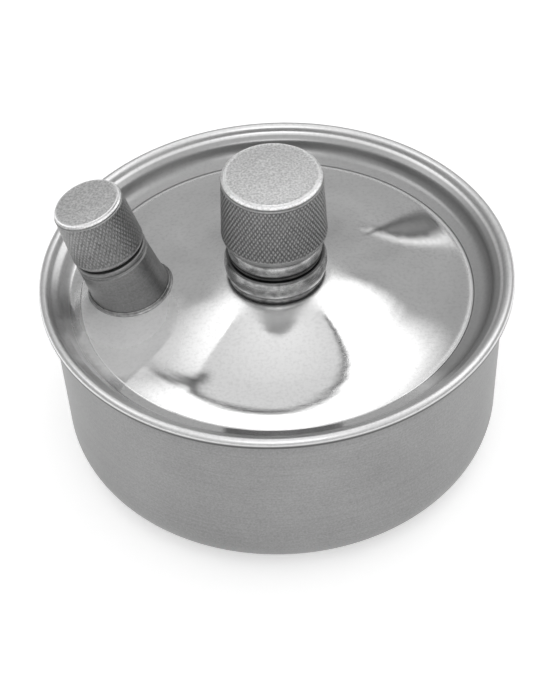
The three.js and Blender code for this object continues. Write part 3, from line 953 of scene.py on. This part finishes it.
@dataclass
class Neck:
    """The neck soldered on the lid and the burner screwed into it."""

    lid: LidSurface
    foot_radius: float = 8.6
    foot_height: float = 0.8
    bead_radius: float = 9.7
    bead_in: float = 0.6
    bead: float = 4.0
    # reach of the painted shade at both ends of the lower bead
    corner_shade: float = 0.55
    bore: float = 6.3
    seat: float = 0.1
    burner_thread: float = 7.7
    burner_thread_length: float = 4.0
    thread_depth: float = 0.7
    pitch: float = 2.0
    run: float = 0.35
    washer: float = 0.5
    burner_bead_radius: float = 8.95
    burner_bead_in: float = 0.5
    burner_bead: float = 2.9
    # reach of the painted shade at both ends of the burner bead
    burner_corner_shade: float = 0.4
    spigot: float = 9.0
    burner_bore: float = 5.0
    cap_thread: float = 7.9
    cap_thread_length: float = 6.0
    packing: float = 1.3
    disc_radius: float = 5.9
    disc: float = 0.8
    tube_radius: float = 3.7
    tube_wall: float = 0.4
    tube_above: float = 2.0
    tube_below: float = 24.0
    wick_radius: float = 3.1
    wick_above: float = 1.0
    wick_end: float = 5.0
    slip: float = 0.15

    @property
    def foot(self) -> float:
        """Height of the neck's foot on the land."""
        return self.lid.rim_height + self.lid.crown + self.seat

    @property
    def top(self) -> float:
        """Height of the neck's upper face."""
        return self.foot + self.foot_height + self.bead

    @property
    def shoulder(self) -> float:
        """Height of the burner's shoulder, on which the cap's packing rests."""
        return self.top + 2 * self.seat + self.washer + self.burner_bead

    @property
    def mouth(self) -> float:
        """Height of the burner's top."""
        return self.shoulder + self.spigot

    def collar(self) -> bpy.types.Object:
        """Turn the fixed neck: a narrow foot under the wide lower bead."""
        under = self.foot + self.foot_height
        waist, bore = self.bead_radius - self.bead_in, self.burner_thread + self.run
        floor = self.top - self.burner_thread_length - self.run
        bulge = barrel(under, self.top, waist, self.bead_radius, 18)
        profile = np.concatenate([
            filleted([(self.bore, self.foot), (self.foot_radius, self.foot, 0.1),
                      (self.foot_radius, under, 0.15), (waist, under)])[:-1],
            bulge, [[bore, self.top], [bore, floor], [self.bore, floor]]])
        # painted shade: dark on the foot under the bead and on the top face, fading out within the reach from both
        # ends of the bead
        edge = lambda z: np.clip(1 - np.minimum(self.top - z, z - under) / self.corner_shade, 0, 1)
        ends = lambda r, t, z: edge(z) * (r > bore + 0.2)
        return Turning("shown_neck_collar", divided(profile, 0.4, True), 192, closed=True, tint=ends).build()

    def solder(self) -> bpy.types.Object:
        """Run the solder fillet round the foot."""
        r, z = self.foot_radius + self.slip, self.foot
        turn = np.radians(np.linspace(0, 90, 7))
        hollow = np.stack([r + 0.4 - 0.4 * np.sin(turn), z + 0.5 - 0.5 * np.cos(turn)], 1)
        profile = np.concatenate([[[r - 0.1, z - 0.05]], hollow, [[r - 0.1, z + 0.5]]])
        uneven = lambda rr, t, zz: 0.05 * np.sin(5 * t + 1) * (rr > r) + 0.03 * np.sin(11 * t) * (rr > r)
        return Turning("shown_neck_solder", profile, 160, closed=True, relief=uneven).build()

    def gasket(self) -> bpy.types.Object:
        """Cut the washer between neck and burner."""
        low, bore = self.top + self.seat, self.burner_thread + self.run
        out = self.burner_bead_radius - 0.2
        return hoop("shown_neck_washer", bore, out, low, low + self.washer, (0.1, 0.25, 0.25, 0.1))

    def burner(self) -> bpy.types.Object:
        """Turn the burner: a thread for the neck, the upper bead, and the spigot with the cap's thread."""
        root, cap_root = self.burner_thread - self.thread_depth, self.cap_thread - self.thread_depth
        low, thread_low = self.top - self.burner_thread_length, self.shoulder + self.packing
        seat, step = self.mouth - self.disc - self.seat, self.pitch / THREAD_ROWS
        foot = self.top + 2 * self.seat + self.washer
        lower = np.arange(low, low + self.burner_thread_length + 1e-9, step)
        upper = np.arange(thread_low, thread_low + self.cap_thread_length + 1e-9, step)
        cup = self.disc_radius + self.slip
        profile = np.concatenate([
            [[self.burner_bore, low]], np.stack([np.full(len(lower), root), lower], 1), [[root, foot]],
            barrel(foot, self.shoulder, self.burner_bead_radius - self.burner_bead_in, self.burner_bead_radius, 14),
            [[cap_root, self.shoulder]], np.stack([np.full(len(upper), cap_root), upper], 1),
            filleted([(cap_root, upper[-1]), (cap_root, self.mouth, 0.4), (cup, self.mouth, 0.12), (cup, seat),
                      (self.burner_bore, seat)])[1:]])
        under = right_hand_thread(low, self.burner_thread_length, self.pitch, root, self.thread_depth)
        over = right_hand_thread(thread_low, self.cap_thread_length, self.pitch, cap_root, self.thread_depth)
        relief = lambda r, t, z: under(r, t, z) + over(r, t, z)
        # painted shade: dark on the thread below the burner bead, fading out within the reach from both ends of the
        # bead
        edge = lambda z: np.clip(1 - np.minimum(self.shoulder - z, z - foot) / self.burner_corner_shade, 0, 1)
        ends = lambda r, t, z: edge(z) * (z < self.shoulder + 0.1)
        return Turning("shown_burner_collar", profile, THREADED_STEPS, closed=True, relief=relief, tint=ends).build()

    def disc_plate(self) -> bpy.types.Object:
        """Turn the plate that holds the wick tube in the burner."""
        return hoop("shown_burner_disc", self.tube_radius + self.slip, self.disc_radius, self.mouth - self.disc,
                    self.mouth, (0.0, 0.1, 0.15, 0.1))

    def tube(self) -> bpy.types.Object:
        """Draw the wick tube, with its mouth rolled a little inward."""
        low, top = self.mouth - self.disc - self.tube_below, self.mouth + self.tube_above
        return hoop("shown_wick_tube", self.tube_radius - self.tube_wall, self.tube_radius, low, top,
                    (0.1, 0.1, 0.18, 0.18), 2.0)

    def wick(self) -> bpy.types.Object:
        """Braid the wick: two crossing sets of yarns that pass over and under each other."""
        top = self.mouth + self.tube_above + self.wick_above
        yarns, rise, swell = 8, 3.4, 0.16

        def braid(r: np.ndarray, t: np.ndarray, z: np.ndarray) -> np.ndarray:
            one, two = yarns * t / (2 * math.pi) + z / rise, yarns * t / (2 * math.pi) - z / rise
            over = 0.5 + 0.5 * np.cos(math.pi * (one + two)) * np.cos(math.pi * (one - two))
            return np.maximum(np.abs(np.sin(math.pi * one)) * over, np.abs(np.sin(math.pi * two)) * (1 - over))

        profile = divided(filleted([(0, self.wick_end), (self.wick_radius, self.wick_end, 0.4),
                                    (self.wick_radius, top, 0.6), (0, top)]), 0.3)
        relief = lambda r, t, z: swell * (braid(r, t, z) - 1) * np.clip(r / self.wick_radius, 0, 1) ** 4
        return Turning("shown_wick", profile, PLAIN_STEPS, relief=relief, tint=braid).build()

    def make(self, turned: bpy.types.Material, solder: bpy.types.Material, rubber: bpy.types.Material,
             brass: bpy.types.Material, cotton: bpy.types.Material) -> None:
        """Build and dress the pieces.

        Args:
            turned: finish of neck and burner.
            solder: finish of the fillet.
            rubber: finish of the washer.
            brass: finish of plate and tube.
            cotton: finish of the wick.
        """
        dress(self.collar(), turned, Slot.BRIGHT, Body.LAMP, "neck_collar")
        dress(self.solder(), solder, Slot.SOLDER, Body.LAMP, "neck_solder")
        dress(self.gasket(), rubber, Slot.PACKING, Body.BURNER_WASHER, "neck_washer")
        dress(self.burner(), turned, Slot.BRIGHT, Body.BURNER, "burner_collar")
        dress(self.disc_plate(), brass, Slot.BRASS, Body.BURNER, "burner_disc")
        dress(self.tube(), brass, Slot.BRASS, Body.BURNER, "wick_tube")
        dress(self.wick(), cotton, Slot.COTTON, Body.WICK, "wick")


def barrel(low: float, high: float, edge: float, crest: float, rows: int) -> np.ndarray:
    """A rounded bead: its radius is edge + (crest - edge) * sqrt(sin(pi * share)) between two heights.

    Args:
        low: lower height.
        high: upper height.
        edge: radius at both ends.
        crest: radius at the middle.
        rows: rows of the profile.

    Returns:
        (radius, height) rows.
    """
    turn = np.linspace(0, math.pi, rows)
    share = (1 - np.cos(turn)) / 2
    return np.stack([edge + (crest - edge) * np.sqrt(np.sin(math.pi * share).clip(0)), low + (high - low) * share], 1)


@dataclass
class ScrewCap:
    """A knurled screw cap with its packing ring and liner disc, round its own axis."""

    name: str
    shoulder: float
    across: float
    lip: float
    grip: float
    chamfer: float
    thread: float
    diamonds: int
    placing: Placing
    bodies: tuple[Body, Body, Body]
    scale: float = 1.0
    taper: float = 0.4
    edge_in: float = 0.8
    lip_in: float = 0.75
    diamond_height: float = 1.35
    knurl_depth: float = 0.22
    knurl_wear: float = 0.0
    packing_height: float = 1.3
    packing_wall: float = 0.85
    packing_shown: float = 0.5
    top_thickness: float = 1.0
    dome: float = 0.2
    liner: float = 1.1
    seat: float = 0.1
    run: float = 0.35

    @property
    def mouth(self) -> float:
        """Height of the cap's lower edge."""
        return self.shoulder + self.packing_shown

    @property
    def top(self) -> float:
        """Height of the edge of the cap's top."""
        return self.mouth + self.lip + self.grip + self.chamfer

    def knurl(self, r: np.ndarray, t: np.ndarray, z: np.ndarray) -> np.ndarray:
        """Crest height of the knurl, 0 in a groove and 1 on a diamond's point.

        Two sets of V grooves wind opposite ways: each set's height is 1 - |2 frac(n t / 2 pi +- z / h) - 1| turned
        over, and the lower of the two gives the diamonds.
        """
        low = self.mouth + self.lip
        one = self.diamonds * t / (2 * math.pi) + (z - low) / self.diamond_height
        two = self.diamonds * t / (2 * math.pi) - (z - low) / self.diamond_height
        valley = lambda x: 1 - np.abs(2 * (x % 1) - 1)
        return np.minimum(valley(one), valley(two))

    def in_grip(self, z: np.ndarray, row: np.ndarray) -> np.ndarray:
        """1 on the knurled band, 0 off it, eased over 0.3 mm at both ends."""
        low, high = self.mouth + self.lip, self.mouth + self.lip + self.grip
        return np.clip(np.minimum(z - low, high - z) / 0.3, 0, 1) * row

    def shell(self) -> bpy.types.Object:
        """Turn the shell and roll the knurl into its band."""
        low, high = self.mouth + self.lip, self.mouth + self.lip + self.grip
        rows = int(round(self.grip / self.diamond_height * DIAMOND_STEPS))
        grip_top = self.across - self.taper * self.scale
        edge, lip = grip_top - self.edge_in * self.scale, self.across - self.lip_in * self.scale
        band = np.stack([np.linspace(self.across, grip_top, rows + 1), np.linspace(low, high, rows + 1)], 1)
        recess, bore = self.thread + self.packing_wall + self.seat, self.thread + self.run
        recess_top = self.shoulder + self.packing_height + 2 * self.seat
        ceiling = self.top - self.top_thickness
        skirt = filleted([(recess, self.mouth + 0.5), (recess, self.mouth, 0.1), (lip, self.mouth, 0.15),
                          (self.across - 0.3 * self.lip_in * self.scale, self.mouth + 0.45 * self.lip, 1.2),
                          (self.across, low)])
        crown = filleted([(grip_top, high), (grip_top - 0.28, high + 0.1, 0.08), (grip_top - 0.22, high + 0.3, 0.1),
                          (grip_top - 0.1, self.top - 0.62, 0.2), (edge + 0.12, self.top - 0.4, 0.15),
                          (edge, self.top + 0.02, 0.22), (edge - 0.5, self.top - 0.02, 0.5),
                          (edge * 0.5, self.top + self.dome * 0.8, 8.0), (0, self.top + self.dome)])
        inside = divided(filleted([(0, ceiling), (bore, ceiling, 0.5), (bore, recess_top, 0.2),
                                   (recess, recess_top - 0.1, 0.05), (recess, self.mouth + 0.5)]), 1.0)
        profile = np.concatenate([inside, skirt[1:-1], band, divided(crown, 0.6)[1:]])
        start = len(inside) + len(skirt) - 2
        row = np.zeros((len(profile), 1))
        row[start:start + rows + 1] = 1.0
        relief = lambda r, t, z: -self.knurl_depth * (1 - self.knurl(r, t, z)) * self.in_grip(z, row)
        grip = lambda height: height + self.knurl_wear * (0.55 - height)
        # top: 0.75 on the lower bevel, a painted highlight (2.0) over the upper bevel and rolled edge, and lighter
        # turned metal (1.6) on the flat top
        turned_top_and_highlight = lambda r, z: (0.75 + 1.25 * np.clip((z - self.top + 0.75) / 0.25, 0, 1)
                              - 0.4 * np.clip((edge - 0.1 - r) / 0.3, 0, 1) * (z > self.top - 0.2))
        tint = lambda r, t, z: np.where(self.in_grip(z, row) > 0, grip(self.knurl(r, t, z)), turned_top_and_highlight(r, z))
        return Turning(f"shown_{self.name}", profile, self.diamonds * DIAMOND_STEPS, placing=self.placing,
                       relief=relief, tint=tint).build()

    def packing(self) -> bpy.types.Object:
        """Cut the packing ring, with soft edges."""
        low, inner = self.shoulder + self.seat, self.thread + 0.6 * self.run
        return hoop(f"shown_{self.name}_packing", inner, self.thread + self.packing_wall, low,
                    low + self.packing_height, (0.12, 0.3, 0.2, 0.12), placing=self.placing)

    def disc(self) -> bpy.types.Object:
        """Punch the liner disc."""
        high = self.top - self.top_thickness - self.seat
        return Turning(f"shown_{self.name}_liner", divided(filleted(
            [(0, high - self.liner), (self.thread, high - self.liner, 0.15), (self.thread, high, 0.15), (0, high)]),
            1.0), PLAIN_STEPS, placing=self.placing).build()

    def make(self, knurled: bpy.types.Material, rubber: bpy.types.Material, cork: bpy.types.Material) -> None:
        """Build and dress shell, packing and liner.

        Args:
            knurled: finish of the shell.
            rubber: finish of the packing.
            cork: finish of the liner.
        """
        grip, packing, liner = self.bodies
        dress(self.shell(), knurled, Slot.KNURLED, grip, self.name)
        dress(self.packing(), rubber, Slot.PACKING, packing, f"{self.name}_packing")
        dress(self.disc(), cork, Slot.CORK, liner, f"{self.name}_liner")


@dataclass
class Filler:
    """The leaning filler neck, its fit to the lid and its solder."""

    lid: LidSurface
    out: float = 28.5975
    bearing: float = 174.0
    lean: float = 17.0
    foot_radius: float = 7.24
    foot_spread: float = 0.3
    foot_in: float = 0.9
    foot_forward: float = 0.9
    collar_top: float = 6.99
    collar: float = 7.8
    groove: float = 0.5
    groove_depth: float = 0.45
    ring: float = 1.0
    ring_radius: float = 7.04
    thread: float = 5.29
    thread_depth: float = 0.7
    thread_length: float = 4.8
    pitch: float = 1.6
    bore: float = 3.59
    packing: float = 1.3
    mouth: float = 19.15
    solder_width: float = 0.4
    solder_height: float = 0.55

    @property
    def placing(self) -> Placing:
        """The filler's own frame: its foot on the lid, its bearing and its lean."""
        b = math.radians(self.bearing)
        height = float(self.lid.height(np.array([self.out]))[0])
        return Placing((self.out * math.cos(b), self.out * math.sin(b), height), self.bearing, self.lean)

    @property
    def shoulder(self) -> float:
        """Distance along the axis of the shoulder under the cap's packing."""
        return self.collar + self.groove + self.ring

    def skewed(self, points: np.ndarray) -> np.ndarray:
        """Carry the foot off the axis: in proportion to the depth below the collar's top.

        Args:
            points: points in the filler's frame.

        Returns:
            The points moved toward the middle of the lid and toward the front.
        """
        share = np.clip(1 - points[..., 2:] / (self.collar - 0.3), 0, None)
        return points + share * np.array([-self.foot_in, self.foot_forward, 0.0])

    def on_lid(self, points: np.ndarray, above: np.ndarray) -> np.ndarray:
        """Slide points along the skewed collar until they are a given height above the lid.

        The distance along the axis is found by halving an interval again and again on whole arrays.

        Args:
            points: points in the filler's frame, whose third component is ignored.
            above: wanted heights above the lid.

        Returns:
            Distances along the axis.
        """
        low, high = np.full(above.shape, -9.0), np.full(above.shape, 12.0)
        for _ in range(HALVINGS):
            middle = (low + high) / 2
            spot = self.placing.move(self.skewed(np.dstack([points[..., :2], middle])))
            over = spot[..., 2] - self.lid.height(np.hypot(spot[..., 0], spot[..., 1])) > above
            low, high = np.where(over, low, middle), np.where(over, middle, high)
        return (low + high) / 2

    def neck(self) -> bpy.types.Object:
        """Turn the neck, with its foot rows carried down to the lid all round."""
        root, step = self.thread - self.thread_depth, self.pitch / THREAD_ROWS
        thread_low, hollow = self.shoulder + self.packing, self.ring_radius - self.groove_depth
        rows = np.arange(thread_low, thread_low + self.thread_length + 1e-9, step)
        top, side = self.collar - 0.3, np.linspace(0, 1, 12)
        radius = self.foot_radius + (self.collar_top - self.foot_radius) * side + self.foot_spread * (1 - side) ** 6
        waist = np.stack([radius, top * side], 1)
        profile = np.concatenate([
            [[self.bore, 0.0]], waist,
            [[self.collar_top - 0.04, top + 0.14], [self.collar_top - 0.15, top + 0.24],
             [self.collar_top - 0.3, top + 0.3], [hollow + 0.05, self.collar + 0.05], [hollow, self.collar + 0.15]],
            barrel(self.collar + self.groove, self.shoulder, hollow, self.ring_radius, 14),
            [[root, self.shoulder]], np.stack([np.full(len(rows), root), rows], 1),
            filleted([(root, rows[-1]), (root, self.mouth, 0.3), (self.bore, self.mouth, 0.2), (self.bore, 12)])[1:],
            [[self.bore, 4.0]]])

        def fitted(points: np.ndarray) -> np.ndarray:
            floor = self.on_lid(points, np.full(points.shape[:2], 0.02))
            share = np.clip(points[..., 2] / top, 0, 1)
            low = points[..., 2] <= top + 1e-9
            height = np.where(low, floor + (top - floor) * share, points[..., 2])
            return self.skewed(np.dstack([points[..., :2], height]))

        relief = right_hand_thread(thread_low, self.thread_length, self.pitch, root, self.thread_depth)
        return Turning("shown_filler_neck", profile, THREADED_STEPS, closed=True, placing=self.placing,
                       relief=relief, warp=fitted).build()

    def solder(self) -> bpy.types.Object:
        """Run the solder round the foot: a hollow fillet whose heights are measured from the lid."""
        inner = self.foot_radius + self.foot_spread + 0.1
        turn = np.radians(np.linspace(0, 90, 7))
        fillet = np.stack([inner + self.solder_width * (1 - np.sin(turn)), self.solder_height * (1 - np.cos(turn))], 1)
        profile = np.concatenate([[[inner - 0.25, 0.0]], fillet, [[inner - 0.25, self.solder_height]]])

        def laid(points: np.ndarray) -> np.ndarray:
            height = self.on_lid(points, points[..., 2] + 0.02)
            return self.skewed(np.dstack([points[..., :2], height]))

        return Turning("shown_filler_solder", profile, 160, closed=True, placing=self.placing, warp=laid).build()

    def make(self, satin: bpy.types.Material, solder: bpy.types.Material) -> None:
        """Build and dress neck and solder.

        Args:
            satin: finish of the neck.
            solder: finish of the fillet.
        """
        dress(self.neck(), satin, Slot.SATIN, Body.LAMP, "filler_neck")
        dress(self.solder(), solder, Slot.SOLDER, Body.LAMP, "filler_solder")


# ---------------------------------------------------------------- stage


@dataclass
class Camera:
    """A long-lens camera aimed past the rim.

    Its distance and its shifts are counted from the middle of the rim, in rim radii.
    """

    rim_radius: float = 0.045
    rim_height: float = 0.038
    elevation: float = 43.68
    roll: float = -2.77
    distance: float = 14.0
    aside: float = -0.020
    upward: float = -0.278
    lens: float = 174.5058
    sensor: float = 36.0

    def make(self) -> bpy.types.Object:
        """Place the camera and make it the scene's."""
        e, roll = math.radians(self.elevation), math.radians(self.roll)
        ahead = Vector((0, math.cos(e), -math.sin(e)))
        right = Vector((1, 0, 0))
        up = right.cross(ahead)
        place = (-ahead * self.distance + right * self.aside + up * self.upward) * self.rim_radius
        place += Vector((0, 0, self.rim_height))
        across = right * math.cos(roll) + up * math.sin(roll)
        upright = up * math.cos(roll) - right * math.sin(roll)
        data = bpy.data.cameras.new("camera")
        data.lens, data.sensor_width = self.lens, self.sensor
        data.clip_start, data.clip_end = 0.02, 20.0
        made = bpy.data.objects.new("camera", data)
        facing = Matrix((across, upright, -ahead)).transposed().to_4x4()
        made.matrix_world = Matrix.Translation(place) @ facing
        bpy.context.scene.collection.objects.link(made)
        bpy.context.scene.camera = made
        return made


@dataclass
class Sky:
    """The studio round the lamp, shaded by direction.

    Directions are flattened from below: a direction (x, y, z) is at (x, y) / (1 + z), so the zenith is the origin
    and the back is at positive y. A white panel hangs behind and above the lamp. Over it is a pale ceiling with a
    blunt top and sides that run down. A round pale lamp hangs at the left, a thin leaf-shaped dark reflector stands
    at the right and a soft window is in front.
    """

    back_low: float = 0.30
    back_high: float = 0.44
    panel: float = 1.7
    ceiling: float = 0.80
    zenith: float = 1.0
    front_low: float = 0.40
    window: float = 2.4
    window_place: tuple[float, float] = (0.0, -0.27)
    edge_tone: float = 0.10
    leaf: float = 0.27
    lamp_place: tuple[float, float] = (-0.160, 0.290)
    lamp_radius: float = 0.080

    def make(self) -> None:
        """Build the sky and make it the scene's."""
        world = bpy.data.worlds.new("studio")
        world.use_nodes = True
        n = Nodes(world.node_tree)
        axes = n.put("SeparateXYZ", {"Vector": n.put("TexCoord").outputs["Generated"]}).outputs
        under = n.sum(axes[2], 1.0001)
        x, y = n.sum(axes[0], under, "DIVIDE"), n.sum(axes[1], under, "DIVIDE")
        haze = n.put("TexNoise", {"Vector": n.put("CombineXYZ", {"X": x, "Y": y}).outputs[0], "Scale": 9.0,
                                  "Detail": 3.0}).outputs[0]
        base = n.span(axes[2], 0.12, 0.34, self.back_low, self.back_high)
        base = n.sum(base, n.span(haze, 0.3, 0.7, 0.90, 1.10), "MULTIPLY")
        white = self.mixed(n, self.panel_share(n, x, y, axes[2]), base, self.panel)
        white, lamp_edge = self.lamp(n, x, y, white)
        inside = self.under_ceiling(n, x, y)
        roof = n.span(axes[2], 0.0, 0.8, self.front_low, self.ceiling)
        roof = n.sum(roof, n.span(axes[2], 0.88, 0.97, 0.0, self.zenith - self.ceiling))
        roof = self.mixed(n, self.round_share(n, x, y, self.window_place, 0.11, 0.15), roof, self.window)
        tone = self.mixed(n, n.span(inside, -0.003, 0.003, 0.0, 1.0), white, roof)
        edge = n.span(n.sum(inside, 0.0, "ABSOLUTE"), 0.005, 0.009, 1.0, 0.0)
        edge = n.sum(edge, n.span(y, 0.13, 0.18, 0.0, 1.0), "MULTIPLY")
        edge = n.sum(edge, n.span(x, -0.088, -0.080, 0.0, 1.0), "MULTIPLY")
        tone = self.mixed(n, n.sum(edge, lamp_edge, "MAXIMUM"), tone, self.edge_tone)
        tone = self.stand(n, x, y, tone)
        glow = n.put("Background", {"Color": tone, "Strength": 1.0})
        n.put("OutputWorld", {"Surface": glow.outputs[0]})
        bpy.context.scene.world = world

    @staticmethod
    def mixed(n: Nodes, share: Socket, first: object, second: object) -> Socket:
        """Mix two numbers by a share."""
        return n.put("Mix", {0: share, 2: first, 3: second}, data_type="FLOAT").outputs[0]

    @staticmethod
    def round_share(n: Nodes, x: Socket, y: Socket, middle: tuple[float, float],
                    full: float, none: float) -> Socket:
        """1 within one distance of a middle, falling to 0 at another."""
        dx, dy = n.sum(x, -middle[0]), n.sum(y, -middle[1])
        return n.span(n.length(dx, dy), full, none, 1.0, 0.0)

    @staticmethod
    def panel_share(n: Nodes, x: Socket, y: Socket,
                    z: Socket) -> Socket:
        """Share of the white panel: above a height that drops at the far right, and right of a leaning side."""
        lift = n.sum(z, n.span(x, 0.0, 0.06, 0.0, -0.028))
        lift = n.sum(lift, n.span(x, 0.16, 0.26, 0.0, 0.14))
        high = n.span(lift, 0.685, 0.755, 0.0, 1.0)
        side = n.sum(n.sum(x, 0.2022), n.scaled(y, -0.41))
        right = n.sum(n.span(side, -0.022, 0.012, 0.0, 1.0), n.span(y, 0.28, 0.22, 0.0, 1.0), "MAXIMUM")
        return n.sum(high, n.span(right, 0.0, 1.0, 0.22, 1.0), "MULTIPLY")

    @staticmethod
    def under_ceiling(n: Nodes, x: Socket, y: Socket) -> Socket:
        """How far a direction is inside the ceiling's outline: a blunt top, steeper at the left than the right."""
        right = n.scaled(x, 0.85, 0.85 * 0.005)
        left = n.scaled(x, -1.5, -1.5 * 0.06)
        slope = n.sum(n.sum(right, left, "MAXIMUM"), 0.0, "MAXIMUM")
        fall = n.sum(n.sum(n.sum(slope, slope, "MULTIPLY"), 0.0001), 0.5, "POWER")
        return n.sum(n.scaled(fall, -1.0, 0.322), y, "SUBTRACT")

    def lamp(self, n: Nodes, x: Socket, y: Socket,
             tone: Socket) -> tuple[Socket, Socket]:
        """Hang the round lamp: pale inside, with a dark edge at its right and upper side.

        Args:
            n: the node writer.
            x: flattened x.
            y: flattened y.
            tone: brightness behind it.

        Returns:
            The brightness with the lamp in front, and the share of its dark edge.
        """
        dx, dy = n.sum(x, -self.lamp_place[0]), n.sum(y, -self.lamp_place[1])
        away = n.length(dx, dy)
        face = n.span(dy, -0.05, 0.06, 1.3, 0.60)
        radius = self.lamp_radius
        shown = self.mixed(n, n.span(away, radius - 0.003, radius + 0.003, 1.0, 0.0), tone, face)
        ring = n.span(n.sum(n.sum(away, -radius), 0.0, "ABSOLUTE"), 0.005, 0.009, 1.0, 0.0)
        side = n.span(n.sum(dx, n.scaled(dy, 0.3)), 0.0, 0.03, 0.0, 1.0)
        low = n.span(dy, -0.035, -0.015, 0.0, 1.0)
        return shown, n.sum(n.sum(ring, side, "MULTIPLY"), low, "MULTIPLY")

    def stand(self, n: Nodes, x: Socket, y: Socket,
              tone: Socket) -> Socket:
        """Put up the leaf-shaped reflector: grey, dark along both sides, with a bright rim at its right.

        Along the leaf its left side lies at 0.006 + 0.05 a and its right side at 4 u (1 - u) (0.028 + 0.13 a),
        where a is the distance along it and u = a / 0.21.

        Args:
            n: the node writer.
            x: flattened x.
            y: flattened y.
            tone: brightness behind it.

        Returns:
            The brightness with the reflector in front.
        """
        dx, dy = n.sum(x, -0.036), n.sum(y, -0.452)
        along = n.sum(n.scaled(dx, 0.5117), n.scaled(dy, 0.8592))
        across = n.sum(n.scaled(dx, 0.8592), n.scaled(dy, -0.5117))
        share = n.scaled(along, 1 / 0.21)
        bow = n.sum(n.scaled(share, 4.0), n.scaled(share, -1.0, 1.0), "MULTIPLY")
        left = n.sum(across, n.scaled(along, 0.05, 0.006), "SUBTRACT")
        right = n.sum(across, n.sum(bow, n.scaled(along, 0.13, 0.028), "MULTIPLY"), "SUBTRACT")
        ends = n.sum(n.span(along, 0.0, 0.02, 0.0, 1.0), n.span(along, 0.205, 0.225, 1.0, 0.0), "MULTIPLY")
        line = lambda off, at, wide: n.sum(
            n.span(n.sum(n.sum(off, -at), 0.0, "ABSOLUTE"), wide * 0.6, wide, 1.0, 0.0), ends, "MULTIPLY")
        within = n.sum(n.span(left, -0.001, 0.001, 0.0, 1.0), n.span(right, -0.001, 0.001, 1.0, 0.0), "MULTIPLY")
        tone = self.mixed(n, n.sum(within, ends, "MULTIPLY"), tone, self.leaf)
        tone = self.mixed(n, line(right, 0.004, 0.006), tone, 1.2)
        tone = self.mixed(n, line(right, -0.005, 0.005), tone, self.edge_tone)
        return self.mixed(n, n.sum(line(left, 0.0, 0.005), 0.8, "MULTIPLY"), tone, self.edge_tone)


@dataclass
class Studio:
    """Pale floor under the studio sky."""

    floor_size: float = 6.0
    floor_lines: int = 9

    def floor(self) -> bpy.types.Object:
        """Lay the floor as a flat grid."""
        line = np.linspace(-0.5, 0.5, self.floor_lines) * self.floor_size
        x, y = np.meshgrid(line, line, indexing="ij")
        spots = np.stack([x, y, np.zeros_like(x)], -1).reshape(-1, 3)
        n = np.arange(x.size).reshape(x.shape)
        faces = np.stack([n[:-1, :-1], n[1:, :-1], n[1:, 1:], n[:-1, 1:]], -1).reshape(-1, 4)
        mesh = bpy.data.meshes.new("floor")
        mesh.from_pydata(spots.tolist(), [], faces.tolist())
        made = bpy.data.objects.new("floor", mesh)
        mesh.materials.append(PaleFloor().make())
        bpy.context.scene.collection.objects.link(made)
        return made

    def make(self) -> None:
        """Set the stage."""
        self.floor()
        Sky().make()
        settings = bpy.context.scene.view_settings
        settings.view_transform, settings.look = "Standard", "None"
        settings.exposure, settings.gamma = 0.0, 1.0


def main() -> None:
    """Build the lamp, its stage and its camera."""
    logging.basicConfig(level=logging.INFO, format="%(name)s: %(message)s")
    satin, bright, knurled = SatinSpun().make(), BrightPlate().make(), KnurledMetal().make()
    solder, rubber = SoftSolder().make(), SoftRubber().make()
    brass, cork, cotton = TurnedBrass().make(), PressedCork().make(), BraidedCotton().make()
    lid = LidSurface()
    neck, filler = Neck(lid), Filler(lid)
    Reservoir(lid).make(satin, bright)
    neck.make(TurnedPlate().make(), solder, rubber, brass, cotton)
    filler.make(satin, solder)
    ScrewCap("middle_cap", neck.shoulder, 10.0, 1.5, 12.1, 1.25, neck.cap_thread, 76, UPRIGHT,
             (Body.MIDDLE_GRIP, Body.MIDDLE_PACKING, Body.MIDDLE_LINER)).make(knurled, rubber, cork)
    ScrewCap("filler_cap", filler.shoulder, 7.14, 0.9, 9.8, 1.05, filler.thread, 56, filler.placing,
             (Body.FILLER_GRIP, Body.FILLER_PACKING, Body.FILLER_LINER), scale=0.714, knurl_depth=0.15,
             knurl_wear=0.45).make(knurled, rubber, cork)
    Camera().make()
    Studio().make()


if __name__ == "__main__":
    main()
